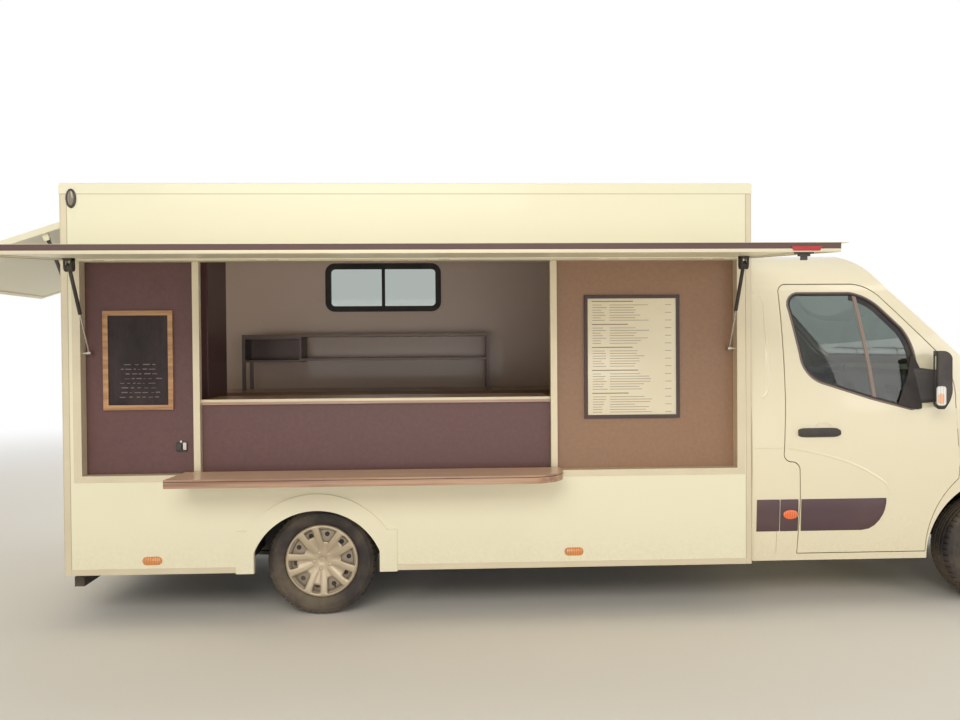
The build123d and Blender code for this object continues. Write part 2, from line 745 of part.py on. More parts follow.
# Tyres and wheels, all drawn as seen at the right-hand side, outer face towards -Y
with BuildPart() as tyre_form:
    with BuildSketch(Plane.XY) as tyre_section:
        with BuildLine():
            half = tyre_width / 2
            shoulder = tyre_radius - 16
            tread = tyre_radius - 2
            Line((bead_radius, -78), (bead_radius, 78))
            Line((bead_radius, 78), (bead_radius + 18, 80))
            ThreePointArc((bead_radius + 18, 80), (tyre_radius - 62, half), (shoulder, half - 20))
            ThreePointArc((shoulder, half - 20), (tyre_radius - 6, half - 32), (tread, half - 48))
            ThreePointArc((tread, half - 48), (tyre_radius, 0), (tread, 48 - half))
            ThreePointArc((tread, 48 - half), (tyre_radius - 6, 32 - half), (shoulder, 20 - half))
            ThreePointArc((shoulder, 20 - half), (tyre_radius - 62, -half), (bead_radius + 18, -80))
            Line((bead_radius + 18, -80), (bead_radius, -78))
        make_face()
    revolve(axis=Axis.Y)

# Trim, disc and rim in one section, from the trim's middle out and back along the rim
with BuildPart() as wheel_form:
    # The section stands between two windows, so that no window crosses its seam
    seam = radians(wheel_seam)
    seam_plane = Plane(origin=(0, 0, 0), x_dir=(cos(seam), 0, sin(seam)), z_dir=(-sin(seam), 0, cos(seam)))
    with BuildSketch(seam_plane):
        with BuildLine():
            disc_face = disc_offset + 12
            Polyline((0, -disc_offset), (0, -trim_face), (72, -trim_face))
            ThreePointArc((72, -trim_face), (135, -trim_face - 12), (204, -98))
            Polyline((204, -98), (trim_radius + 1, -99), (trim_radius + 1, -91), (204, -90))
            ThreePointArc((204, -90), (135, -trim_face - 3), (78, -trim_face + 10))
            Polyline((78, 10 - trim_face), (72, -disc_face), (95, -disc_face), (150, -48),
                     (rim_radius - 32, -26), (rim_radius - 32, -34), (rim_radius - 12, -58),
                     (bead_radius - 6, -86), (trim_radius, -88), (trim_radius, -82), (bead_radius - 1, -79),
                     (rim_radius - 5, -54), (rim_radius - 24, -30), (rim_radius - 24, 32),
                     (rim_radius - 5, 58), (bead_radius - 1, 79), (trim_radius, 82), (trim_radius, 88),
                     (bead_radius - 6, 86), (rim_radius - 12, 60), (rim_radius - 32, 36),
                     (rim_radius - 32, -12), (150, -36), (95, -disc_offset), (0, -disc_offset))
        make_face()
    revolve(axis=Axis.Y)
    # Five wide and five small windows through the trim, turned as in the picture
    with BuildSketch(Plane.XZ.offset(disc_offset + 18)) as windows:
        for k in range(5):
            for turn, shape in ((90 - 11 - 72 * k, wide_window), (90 - 47 - 72 * k, small_window)):
                corners = [(r * cos(radians(turn)) - t * sin(radians(turn)),
                            r * sin(radians(turn)) + t * cos(radians(turn))) for r, t in shape]
                with BuildLine():
                    Polyline(*corners, close=True)
                make_face()
    extrude(amount=60, mode=Mode.SUBTRACT)
    for k in range(5):
        turn = radians(90 - 11 - 72 * k)
        spot = (65 * cos(turn), -trim_face + 1, 65 * sin(turn))
        with Locations(Plane(origin=spot, z_dir=(0, -1, 0))):
            Cylinder(12, 10, align=(Align.CENTER, Align.CENTER, Align.MIN))

# name, x, distance of the wheel's middle from the centreline, side
wheel_places = (
    ("front_right", wheelbase, front_track / 2, -1),
    ("front_left", wheelbase, front_track / 2, 1),
    ("rear_right", 0, rear_track / 2, -1),
    ("rear_left", 0, rear_track / 2, 1),
)
for name, x, reach, side in wheel_places:
    with BuildPart() as tyre:
        with Locations((x, side * reach, tyre_radius)):
            add(tyre_form.part)
    keep("tyre_" + name, tyre)
    with BuildPart() as wheel:
        with Locations((x, side * reach, tyre_radius)):
            add(wheel_form.part if side < 0 else mirror(wheel_form.part, about=Plane.XZ, mode=Mode.PRIVATE))
    keep("wheel_" + name, wheel)

# Box body
side_x = (box_rear_x + corner_width, box_front_x - front_corner_width)
web_x = (opening_rear_x - frame_web, opening_front_x + frame_web)
web_z = (opening_bottom - frame_web, opening_top + frame_web)
arch_foot = arch_centre_z + (arch_radius ** 2 - arch_half_width ** 2) ** 0.5

with BuildPart() as box_floor:
    slab((box_rear_x + wall_thickness, box_front_x - wall_thickness), (-wall_inside, wall_inside),
         (floor_bottom, floor_top))
    for near, far in on_both_sides(housing_inside, wall_inside):
        slab((-housing_reach, housing_reach), (near, far), (floor_bottom, housing_top))
    for near, far in on_both_sides(housing_inside + housing_sheet, wall_inside + 1):
        slab((-housing_reach + housing_sheet, housing_reach - housing_sheet), (near, far),
             (0, housing_top - housing_sheet), mode=Mode.SUBTRACT)
    # Floor covering, laid in the aisle between the worktops
    slab(aisle_x, aisle_y, (floor_top, floor_top + aisle_sheet))
keep("box_floor", box_floor)

with BuildPart() as box_roof:
    slab((box_rear_x, box_front_x), (-half_box, half_box), (wall_top, box_top))
    fillet(box_roof.edges().group_by(Axis.Z)[-1], roof_edge_radius)
    slab((box_rear_x + wall_thickness, box_front_x - wall_thickness), (-wall_inside, wall_inside),
         (wall_top - 1, box_top - roof_thickness), mode=Mode.SUBTRACT)
    with Locations((vent_x, 0, box_top)):
        Box(vent_size, vent_size, vent_height, align=(Align.CENTER, Align.CENTER, Align.MIN))
    fillet(box_roof.faces().sort_by(Axis.Z)[-1].edges(), 25)
keep("box_roof", box_roof)


def wheel_cut(near, far):
    """The wheel opening through a side wall."""
    bar((arch_centre_x, near, arch_centre_z), (arch_centre_x, far, arch_centre_z), arch_radius,
        mode=Mode.SUBTRACT)
    slab((arch_centre_x - arch_half_width, arch_centre_x + arch_half_width), (min(near, far), max(near, far)),
         (0, arch_foot), mode=Mode.SUBTRACT)


with BuildPart() as box_wall_left:
    slab(side_x, (wall_inside, half_box), (wall_bottom, wall_top))
    with BuildSketch(Plane.XZ.offset(-half_box - 1)):
        with Locations(((window_x[0] + window_x[1]) / 2, (window_z[0] + window_z[1]) / 2)):
            RectangleRounded(window_x[1] - window_x[0], window_z[1] - window_z[0], window_radius)
    extrude(amount=wall_thickness + 2, mode=Mode.SUBTRACT)
    wheel_cut(wall_inside - 1, half_box + 1)
keep("box_wall_left", box_wall_left)

with BuildPart() as box_wall_right:
    slab(side_x, (-half_box, -wall_inside), (wall_bottom, wall_top))
    slab(web_x, (-half_box - 1, -wall_inside + 1), web_z, mode=Mode.SUBTRACT)
    wheel_cut(-wall_inside + 1, -half_box - 1)
keep("box_wall_right", box_wall_right)

with BuildPart() as box_wall_front:
    slab((box_front_x - wall_thickness, box_front_x),
         (front_corner_width - half_box, half_box - front_corner_width), (floor_bottom, wall_top))
keep("box_wall_front", box_wall_front)

with BuildPart() as box_rear_frame:
    slab((box_rear_x, box_rear_x + wall_thickness), (-half_box + corner_width, half_box - corner_width),
         (box_bottom, wall_top))
    slab((box_rear_x - 1, box_rear_x + wall_thickness + 1),
         (-rear_opening_half_width, rear_opening_half_width), (rear_opening_bottom, hatch_hinge_z - 20),
         mode=Mode.SUBTRACT)
    for middle in hatch_lugs:
        bar((hatch_axis_x, middle - lug_length / 2, hatch_hinge_z),
            (hatch_axis_x, middle + lug_length / 2, hatch_hinge_z), hinge_radius)
        slab((hatch_axis_x, box_rear_x), (middle - lug_length / 2, middle + lug_length / 2),
             (hatch_hinge_z - lug_half, hatch_hinge_z + lug_half))
    for middle in half_door_lugs:
        bar((hatch_axis_x, half_door_axis_y, middle - lug_length / 2),
            (hatch_axis_x, half_door_axis_y, middle + lug_length / 2), hinge_radius)
        slab((hatch_axis_x, box_rear_x), (half_door_axis_y - lug_half, half_door_axis_y + lug_half),
             (middle - lug_length / 2, middle + lug_length / 2))
    for near, far in on_both_sides(hatch_strut_y + eye_width / 2 + pin_gap, rear_opening_half_width + 1):
        bar((hatch_pin_low[0], near, hatch_pin_low[1]), (hatch_pin_low[0], far, hatch_pin_low[1]), pin_radius)
keep("box_rear_frame", box_rear_frame)

with BuildPart() as edge_profiles:
    for near, far in on_both_sides(half_box - corner_width, half_box):
        slab((box_rear_x, box_rear_x + corner_width), (near, far), (box_bottom, wall_top))
    for near, far in on_both_sides(half_box - front_corner_width, half_box):
        slab((box_front_x - front_corner_width, box_front_x), (near, far), (box_bottom, wall_top))
    uprights = edge_profiles.edges().filter_by(Axis.Z)
    outer = uprights.filter_by(lambda edge: abs(edge.center().Y) > half_box - 1).sort_by(Axis.X)
    fillet(outer[:2] + outer[-2:], corner_radius)
    for near, far in on_both_sides(half_box - corner_width - 1, wall_inside):
        slab((box_rear_x + wall_thickness, box_front_x - wall_thickness), (near, far),
             (box_bottom - 1, wall_top + 1), mode=Mode.SUBTRACT)
    for side in (-1, 1):
        for ends in ((side_x[0], arch_centre_x - trim_foot), (arch_centre_x + trim_foot, side_x[1])):
            across = tuple(sorted((side * (half_box - skirt_depth), side * (half_box + 2))))
            slab(ends, across, (box_bottom, wall_bottom))
keep("edge_profiles", edge_profiles)

with BuildPart() as arch_trims:
    for plane in (Plane.XZ.offset(half_box), Plane.XZ.offset(-half_box - trim_proud)):
        with BuildSketch(plane):
            with Locations((arch_centre_x, arch_centre_z)):
                Circle(trim_outer_radius)
            with Locations((arch_centre_x, 0)):
                Rectangle(4 * trim_foot, 2 * trim_step_z, mode=Mode.SUBTRACT)
            with Locations((arch_centre_x, (trim_step_z + box_bottom - 6) / 2)):
                Rectangle(2 * trim_foot, trim_step_z - box_bottom + 6)
            with Locations((arch_centre_x, arch_centre_z)):
                Circle(arch_radius, mode=Mode.SUBTRACT)
            with Locations((arch_centre_x, arch_foot / 2)):
                Rectangle(2 * arch_half_width, arch_foot, mode=Mode.SUBTRACT)
        extrude(amount=trim_proud)
keep("arch_trims", arch_trims)

# The opening's frame with its posts, flap hinge lugs and lower strut pins
with BuildPart() as opening_frame:
    frame_front = -half_box - frame_flange
    opening_z = (opening_bottom, opening_top)
    slab((opening_rear_x - flange_reach, opening_front_x + flange_reach), (frame_front, -half_box),
         (opening_bottom - frame_face, opening_top + frame_face))
    slab(web_x, (-half_box, recess_y), web_z)
    slab((opening_rear_x, opening_front_x), (frame_front - 1, recess_y + 1), opening_z, mode=Mode.SUBTRACT)
    for x in post_xs:
        slab((x - post_width / 2, x + post_width / 2), (recess_y - post_depth, recess_y), opening_z)
    for lugs, y, z in ((shelf_lugs, shelf_axis_y, shelf_axis_z), (flap_lugs, flap_axis_y, flap_axis_z)):
        for middle in lugs:
            ends = (middle - lug_length / 2, middle + lug_length / 2)
            bar((ends[0], y, z), (ends[1], y, z), hinge_radius)
            slab(ends, (y, frame_front), (z - lug_half, z + lug_half))
    for middle in service_door_lugs:
        low = middle - lug_length / 2
        bar((door_axis_x, door_axis_y, low), (door_axis_x, door_axis_y, low + lug_length), hinge_radius)
        slab((door_axis_x - lug_half, door_axis_x + lug_half), (recess_y - 1, door_axis_y),
             (low, low + lug_length))
    for x, edge in flap_struts:
        toward = 1 if edge > x else -1
        tip = x + toward * (eye_width / 2 + pin_gap)
        bar((tip, flap_pin_low[0], flap_pin_low[1]), (edge, flap_pin_low[0], flap_pin_low[1]), pin_radius)
keep("opening_frame", opening_frame)

with BuildPart() as service_panels:
    left_post = post_xs[0] + post_width / 2
    right_post = post_xs[1] - post_width / 2
    slab((left_post - panel_lap, right_post + panel_lap), (recess_y, recess_y + panel_thickness),
         (opening_bottom - panel_lap, counter_top - counter_thickness))
    slab((right_post + panel_lap, opening_front_x + panel_lap), (recess_y, recess_y + panel_thickness),
         (opening_bottom - panel_lap, opening_top + panel_lap))
keep("service_panels", service_panels)

with BuildPart() as service_door:
    leaf_x = (opening_rear_x - panel_lap, post_xs[0] + post_width / 2 - panel_lap - run_gap)
    leaf_y = (recess_y + run_gap, recess_y + run_gap + door_leaf_thickness)
    slab(leaf_x, leaf_y, (opening_bottom - panel_lap + run_gap, opening_top + panel_lap - run_gap))
    for middle in service_door_lugs:
        for low in (middle - lug_length / 2 - pin_gap - 60, middle + lug_length / 2 + pin_gap):
            bar((door_axis_x, door_axis_y, low), (door_axis_x, door_axis_y, low + 60), hinge_radius)
            slab((door_axis_x, leaf_x[0] + 2), (leaf_y[0] + 2, leaf_y[0] + 8), (low, low + 60))
keep("service_door", service_door)

with BuildPart() as worktops:
    slab((left_post, right_post), (recess_y - 20, recess_y + counter_depth),
         (counter_top - counter_thickness, counter_top))
    for x in (left_post + 60, right_post - 90):
        slab((x, x + 30), (recess_y + panel_thickness, recess_y + counter_depth - 40),
             (floor_top, counter_top - counter_thickness))
    slab((-1100, 1900), (wall_inside - 620, wall_inside), (back_top - 40, back_top))
    slab((back_joint_x - back_joint[0] / 2, back_joint_x + back_joint[0] / 2),
         (wall_inside - 621, wall_inside + 1), (back_top - back_joint[1], back_top + 1), mode=Mode.SUBTRACT)
    for x in (-1080, 400, 1860):
        slab((x, x + 30), (wall_inside - 600, wall_inside), (floor_top, back_top - 40))
    slab((-housing_reach, housing_reach), (housing_inside, wall_inside), (floor_top, housing_top),
         mode=Mode.SUBTRACT)
keep("worktops", worktops)

with BuildPart() as tall_cupboard:
    slab(cupboard_x, cupboard_y, (floor_top, cupboard_top))
    fillet(tall_cupboard.edges().filter_by(Axis.Z), 8)
keep("tall_cupboard", tall_cupboard)

with BuildPart() as wall_shelf:
    slab((rack_box_x[0], rack_x[1]), rack_y, (rack_top - 20, rack_top))
    slab((rack_box_x[1], rack_x[1]), rack_y, (rack_low - 20, rack_low))
    slab(rack_box_x, rack_y, (rack_low - 30, rack_top))
    slab((rack_box_x[0] + 18, rack_box_x[1] - 18), (rack_y[0] - 1, rack_y[1] - 30),
         (rack_low - 12, rack_top - 38), mode=Mode.SUBTRACT)
    for x in (rack_box_x[0], rack_x[1] - 26):
        for y in (rack_y[0], rack_y[1] - 26):
            slab((x, x + 26), (y, y + 26), (back_top, rack_top - 20))
keep("wall_shelf", wall_shelf)

window_middle = ((window_x[0] + window_x[1]) / 2, (window_z[0] + window_z[1]) / 2)
window_size = (window_x[1] - window_x[0], window_z[1] - window_z[0])
# How far the rubber reaches beyond the cut, and its span across the wall
window_rings = (
    (22, half_box, half_box + 7),
    (22, wall_inside - 7, wall_inside),
    (0, wall_inside, half_box),
)
with BuildPart() as side_window:
    for grow, near, far in window_rings:
        with BuildSketch(Plane.XZ.offset(-far)):
            with Locations(window_middle):
                RectangleRounded(window_size[0] + 2 * grow, window_size[1] + 2 * grow, window_radius + grow)
                RectangleRounded(window_size[0] - 2 * pane_margin, window_size[1] - 2 * pane_margin,
                                 window_radius - pane_margin, mode=Mode.SUBTRACT)
        extrude(amount=far - near)
    middle_x = window_middle[0]
    pane_z = (window_z[0] + pane_margin, window_z[1] - pane_margin)
    slab((middle_x - 14, middle_x + 14), (wall_inside + 6, half_box - 6), pane_z)
keep("side_window", side_window)

with BuildPart() as side_window_glass:
    with BuildSketch(Plane.XZ.offset(14 - half_box)):
        with Locations(window_middle):
            RectangleRounded(window_size[0] - 2 * pane_margin, window_size[1] - 2 * pane_margin,
                             window_radius - pane_margin)
    extrude(amount=glass_thickness)
    slab((middle_x - 14, middle_x + 14), (half_box - 21, half_box - 13), pane_z, mode=Mode.SUBTRACT)
keep("side_window_glass", side_window_glass)

# Lamps
with BuildPart() as marker_lamps:
    for plane in (Plane.XZ.offset(half_box), Plane.XZ.offset(-half_box - lamp_proud)):
        with BuildSketch(plane):
            for x, z in marker_places:
                with Locations((x, z)):
                    SlotOverall(118, 50)
            with Locations(top_lamp_place):
                Ellipse(31, 58)
        extrude(amount=lamp_proud)
keep("marker_lamps", marker_lamps)

with BuildPart() as rear_lamps:
    with BuildSketch(Plane.YZ.offset(box_rear_x - rear_lamp_depth)):
        for side in (-1, 1):
            with Locations((side * 810, 362)):
                RectangleRounded(300, 84, 18)
    extrude(amount=rear_lamp_depth)
keep("rear_lamps", rear_lamps)

# Side flap, drawn open: its plane's Y runs out along it and its Z below it
droop = radians(flap_droop)
flap_plane = Plane(origin=(0, flap_axis_y, flap_axis_z), x_dir=(1, 0, 0), z_dir=(0, sin(droop), -cos(droop)))
flap_x = (opening_rear_x - flap_overlap, opening_front_x + flap_overlap)


def barrels(lugs):
    """The two hinge barrels beside each lug, along the plane's X."""
    for middle in lugs:
        for low in (middle - lug_length / 2 - pin_gap - barrel_length, middle + lug_length / 2 + pin_gap):
            bar((low, 0, 0), (low + barrel_length, 0, 0), hinge_radius)
            slab((low, low + barrel_length), (0, flap_root + 1), (-lug_half, lug_half * 0.6))


with BuildPart() as side_flap:
    with Locations(flap_plane):
        slab(flap_x, (flap_root, flap_length), (-flap_thickness, 0))
        slab((flap_x[0] + leaf_rim, flap_x[1] - leaf_rim), (flap_root + leaf_rim, flap_length - leaf_rim),
             (-flap_dish, 1), mode=Mode.SUBTRACT)
        barrels(flap_lugs)
        for x, edge in flap_struts:
            toward = 1 if edge > x else -1
            near = x + toward * (eye_width / 2 + pin_gap)
            slab((min(near, near + 10 * toward), max(near, near + 10 * toward)),
                 (flap_pin_along - 18, flap_pin_along + 18), (-flap_dish - 1, flap_pin_below + 12))
keep("side_flap", side_flap)

with BuildPart() as flap_latches:
    with Locations(flap_plane):
        for near in (flap_x[0] + 90, flap_x[1] - 240):
            slab((near, near + 150), (flap_length, flap_length + 6), (-34, -4))
            slab((near + 34, near + 118), (flap_length - 40, flap_length - 8), (0, 26))
            slab((near + 46, near + 100), (flap_length - 36, flap_length - 12), (26, 44))
keep("flap_latches", flap_latches)


def pin_point(plane, along, below):
    """A strut's upper pin, from its place along and below the leaf that carries it."""
    return plane.from_local_coords(Vector(0, along, below))


def strut_pieces(prefix, places, across, top, low, length):
    """Cylinders with their upper eyes, and rods with their lower eyes, one pair at each place."""
    way = (low - top).normalized()
    reach = (low - top).length
    with BuildPart() as cylinders:
        for place in places:
            here = top + across * place
            half_eye = across * (eye_width / 2)
            bar(here - half_eye, here + half_eye, eye_radius)
            bar(here, here + way * 30, eye_width / 2 - 1)
            bar(here + way * 26, here + way * length, strut_radius)
            bar(here + way * 32, here + way * (length + 1), rod_radius + rod_clearance, mode=Mode.SUBTRACT)
    keep(prefix + "_cylinders", cylinders)
    with BuildPart() as rods:
        for place in places:
            here = low + across * place
            half_eye = across * (eye_width / 2)
            bar(here - half_eye, here + half_eye, eye_radius)
            bar(here - way * 8, here - way * (reach - length + rod_overlap), rod_radius)
    keep(prefix + "_rods", rods)


flap_top = pin_point(flap_plane, flap_pin_along, flap_pin_below)
flap_low = Vector(0, *flap_pin_low)
strut_pieces("flap", [x for x, edge in flap_struts], Vector(1, 0, 0), flap_top, flap_low, flap_cylinder)

# Rear hatch, drawn open in the same way, and the half door below it
hatch_tilt = radians(hatch_droop)
hatch_plane = Plane(origin=(hatch_axis_x, 0, hatch_hinge_z), x_dir=(0, -1, 0),
                    z_dir=(sin(hatch_tilt), 0, -cos(hatch_tilt)))
leaf_half = rear_opening_half_width + rear_overlap

with BuildPart() as rear_hatch:
    with Locations(hatch_plane):
        slab((-leaf_half, leaf_half), (flap_root, hatch_length), (-hatch_thickness, 0))
        slab((leaf_rim - leaf_half, leaf_half - leaf_rim), (flap_root + leaf_rim, hatch_length - leaf_rim),
             (-flap_dish, 1), mode=Mode.SUBTRACT)
        barrels(hatch_lugs)
        beside_eye = hatch_strut_y + eye_width / 2 + pin_gap
        for near, far in on_both_sides(beside_eye, beside_eye + 10):
            slab((near, far), (hatch_pin_along - 18, hatch_pin_along + 18),
                 (-flap_dish - 1, hatch_pin_below + 12))
keep("rear_hatch", rear_hatch)

hatch_top = pin_point(hatch_plane, hatch_pin_along, hatch_pin_below)
hatch_low = Vector(hatch_pin_low[0], 0, hatch_pin_low[1])
strut_pieces("hatch", (-hatch_strut_y, hatch_strut_y), Vector(0, 1, 0), hatch_top, hatch_low, hatch_cylinder)

with BuildPart() as rear_half_door:
    slab((hatch_axis_x - half_door_thickness, hatch_axis_x), (-leaf_half, half_door_axis_y - flap_root),
         (rear_opening_bottom - 8, hatch_hinge_z - hatch_length - 8))
    for middle in half_door_lugs:
        for low in (middle - lug_length / 2 - pin_gap - barrel_length, middle + lug_length / 2 + pin_gap):
            bar((hatch_axis_x, half_door_axis_y, low), (hatch_axis_x, half_door_axis_y, low + barrel_length),
                hinge_radius)
            slab((hatch_axis_x - lug_half, hatch_axis_x),
                 (half_door_axis_y - flap_root - 1, half_door_axis_y), (low, low + barrel_length))
    door_back = hatch_axis_x - half_door_thickness
    slab((door_back - 22, door_back), (-890, -760), (1180, 1215))
keep("rear_half_door", rear_half_door)

with BuildPart() as serving_shelf:
    with BuildSketch(Plane.XY.offset(shelf_top - shelf_thickness)):
        back = flap_axis_y
        front = back - shelf_depth
        with BuildLine():
            arc_from = (shelf_front_x - shelf_corner, front)
            arc_to = (shelf_front_x, front + shelf_corner)
            Polyline(arc_from, (shelf_rear_x + 14, front), (shelf_rear_x + 46, back), (shelf_front_x - 8, back),
                     arc_to)
            RadiusArc(arc_from, arc_to, -shelf_corner)
        make_face()
    extrude(amount=shelf_thickness)
    for middle in shelf_lugs:
        for low in (middle - lug_length / 2 - pin_gap - barrel_length, middle + lug_length / 2 + pin_gap):
            bar((low, shelf_axis_y, shelf_axis_z), (low + barrel_length, shelf_axis_y, shelf_axis_z),
                hinge_radius)
            slab((low, low + barrel_length), (shelf_axis_y - lug_half, shelf_axis_y + lug_half),
                 (shelf_axis_z, shelf_top - shelf_thickness + 1))
keep("serving_shelf", serving_shelf)

# The origin is under the middle of the whole model, flaps open, on the ground
whole = Compound(list(ALL_PARTS.values())).bounding_box()
origin_shift = Location((-whole.center().X, -whole.center().Y, -whole.min.Z))

os.makedirs("parts", exist_ok=True)
for name, part in ALL_PARTS.items():
    placed = part.moved(origin_shift)
    placed.label = name
    export_step(placed, "parts/" + name + ".step")
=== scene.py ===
# %% [markdown]
# # A food truck, dressed for its portrait
# The truck comes in as finished solids: cab, box body, side flap on gas struts, shelf, kitchen and wheels.
# This lesson gives every solid a finish made of nodes, and adds the small things a solid model leaves out,
# such as tyre tread, seals, bolts, boards and lamps. Each added piece rides on the body that carries it.

# %% Load the solids
import bpy
import bmesh
import json
import math
import random
from mathutils.bvhtree import BVHTree
from mathutils import Matrix, Vector


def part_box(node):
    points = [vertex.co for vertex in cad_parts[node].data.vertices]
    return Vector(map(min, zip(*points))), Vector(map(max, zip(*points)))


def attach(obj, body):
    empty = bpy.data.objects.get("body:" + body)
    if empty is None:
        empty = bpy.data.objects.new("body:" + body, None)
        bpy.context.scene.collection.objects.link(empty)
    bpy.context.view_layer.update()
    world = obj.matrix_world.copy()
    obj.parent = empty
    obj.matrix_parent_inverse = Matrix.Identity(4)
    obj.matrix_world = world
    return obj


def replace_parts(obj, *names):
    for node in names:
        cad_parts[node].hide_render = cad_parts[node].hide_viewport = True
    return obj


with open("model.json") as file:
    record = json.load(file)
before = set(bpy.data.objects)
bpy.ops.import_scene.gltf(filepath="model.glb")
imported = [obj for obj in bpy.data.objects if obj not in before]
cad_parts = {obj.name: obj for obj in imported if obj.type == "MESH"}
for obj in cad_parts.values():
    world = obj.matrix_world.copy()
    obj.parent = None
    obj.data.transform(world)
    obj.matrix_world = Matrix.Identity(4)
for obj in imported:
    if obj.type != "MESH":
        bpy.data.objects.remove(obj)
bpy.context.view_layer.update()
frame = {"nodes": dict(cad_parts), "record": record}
nodes = frame["nodes"]

# %% [markdown]
# ## Where things are
# The drawing of the truck counts from the rear axle, in millimetres, with X forward and Y to the left. The
# solids' own origin lies elsewhere, so one helper turns a point of the drawing into a point of the scene.
# It finds the shift by itself, from the middle of the right-hand rear tyre. The sizes that many pieces share
# get their names here, once.

# %% A point of the drawing, in metres
WHEELBASE, HUB_HEIGHT = 4332, 340
FRONT_REACH, REAR_REACH = 875, 865
# name, X of its axle, distance from the middle, side
WHEELS = (("front_right", WHEELBASE, FRONT_REACH, -1), ("front_left", WHEELBASE, FRONT_REACH, 1),
          ("rear_right", 0, REAR_REACH, -1), ("rear_left", 0, REAR_REACH, 1))
BOTH_SIDES = (("right", -1), ("left", 1))
tyre_low, tyre_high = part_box("tyre_rear_right")
AXLE = (tyre_low + tyre_high) / 2 - Vector((0, -REAR_REACH / 1000, HUB_HEIGHT / 1000))


def at(x, y, z):
    """A point given in the drawing's millimetres, as a point of the scene."""
    return AXLE + Vector((x, y, z)) / 1000


print("drawing's origin is at", [round(value, 4) for value in AXLE])

# %% [markdown]
# ## The camera
# The picture was taken from beside the truck, at the height of a standing person's eyes. The lens and the
# place were found from the truck's straight edges and its wheel, so the camera is made first and every
# later piece can be judged through it. It looks a little to the right, and is rolled by half a degree.

# %% Camera
LENS_PIXELS, FRAME_WIDTH = 853.0, 960
EYE = (779.5, -6321, 1671)
camera_data = bpy.data.cameras.new("portrait_camera")
camera_data.sensor_width = 36.0
camera_data.lens = camera_data.sensor_width * LENS_PIXELS / FRAME_WIDTH
camera = bpy.data.objects.new("portrait_camera", camera_data)
bpy.context.scene.collection.objects.link(camera)
yaw, pitch, roll = 0.0413, -0.0150, -0.0075
forward = Vector((math.sin(yaw) * math.cos(pitch), math.cos(yaw) * math.cos(pitch), math.sin(pitch)))
level_right = Vector((math.cos(yaw), -math.sin(yaw), 0))
level_up = level_right.cross(forward)
right = math.cos(roll) * level_right + math.sin(roll) * level_up
up = right.cross(forward)
turn = Matrix((right, up, -forward)).transposed()
camera.matrix_world = Matrix.Translation(at(*EYE)) @ turn.to_4x4()
camera_data.clip_end = 200
bpy.context.scene.camera = camera
bpy.context.scene.view_settings.view_transform = "Standard"
print("lens", round(camera_data.lens, 2), "mm")

# %% [markdown]
# ## Light, floor and background
# A product portrait needs a plain room: a pale floor that keeps the truck's shadow, and large soft lamps. The
# key lamp stands high on the camera's side and a low one fills the shade under the flap, a third lights the
# nose, one hangs above and one stands behind. What the camera sees past the floor is plain white. The world
# shows that white to the camera, to mirrors and through glass, and a softer cream does the lighting.

# %% World and lamps
scene = bpy.context.scene
world = bpy.data.worlds.new("studio")
scene.world = world
world.use_nodes = True
sky = world.node_tree
sky.nodes.clear()
ray, seen, clear, soft_fill, white, choose, sky_out = (sky.nodes.new("ShaderNode" + kind) for kind in (
    "LightPath", "Math", "Math", "Background", "Background", "MixShader", "OutputWorld"))
seen.operation = clear.operation = "MAXIMUM"
soft_fill.inputs["Color"].default_value = (1.0, 0.97, 0.90, 1)
soft_fill.inputs["Strength"].default_value = 0.44
white.inputs["Color"].default_value = (1, 1, 1, 1)
for source, target in (
        (ray.outputs["Is Camera Ray"], seen.inputs[0]), (ray.outputs["Is Glossy Ray"], seen.inputs[1]),
        (seen.outputs[0], clear.inputs[0]), (ray.outputs["Is Transmission Ray"], clear.inputs[1]),
        (clear.outputs[0], choose.inputs[0]), (soft_fill.outputs[0], choose.inputs[1]),
        (white.outputs[0], choose.inputs[2]), (choose.outputs[0], sky_out.inputs[0])):
    sky.links.new(source, target)


def lamp(name, place, aim, width, height, watts, colour=(1, 1, 1)):
    """A rectangular soft lamp at a place, facing a point."""
    data = bpy.data.lights.new(name, "AREA")
    data.shape = "RECTANGLE"
    data.size, data.size_y = width, height
    data.energy = watts
    data.color = colour
    body = bpy.data.objects.new(name, data)
    scene.collection.objects.link(body)
    body.location = place
    body.rotation_euler = (Vector(aim) - Vector(place)).to_track_quat("-Z", "Y").to_euler()


lamp("key_lamp", at(-600, -9500, 5400), at(1200, -1000, 700), 6.0, 3.0, 302, (1.0, 0.965, 0.90))
lamp("fill_lamp", at(9000, -7500, 3000), at(3000, 0, 1000), 5.0, 3.0, 90, (1.0, 0.975, 0.93))
lamp("top_lamp", at(1000, -500, 8500), at(1000, 0, 0), 8.0, 5.0, 90)
lamp("low_lamp", at(1000, -10500, 900), at(1000, -1000, 600), 7.0, 1.5, 115, (1.0, 0.97, 0.92))
lamp("back_lamp", at(1000, 9000, 5000), at(1000, 0, 1200), 6.0, 4.0, 300)
print("lamps:", [f"{data.name} {data.energy:.0f} W" for data in bpy.data.lights])

# %% Floor
floor_mesh = bpy.data.meshes.new("studio_floor")
FLOOR_HALF = 30
floor_mesh.from_pydata([(x * FLOOR_HALF, y * FLOOR_HALF, 0) for x, y in ((-1, -1), (1, -1), (1, 1), (-1, 1))],
                       [], [(0, 1, 2, 3)])
floor = bpy.data.objects.new("studio_floor", floor_mesh)
scene.collection.objects.link(floor)
print("floor spans", floor.dimensions[0], "m")

# %% [markdown]
# ## A short way to write materials
# A material is a small network of nodes. Written out by hand it is long, so one class wraps a socket and
# lets plain sums build the Math nodes, and one method of a second class makes every other node. With them a
# finish reads like a recipe: where it is rough, where it is dusty, and what colour lies under that.

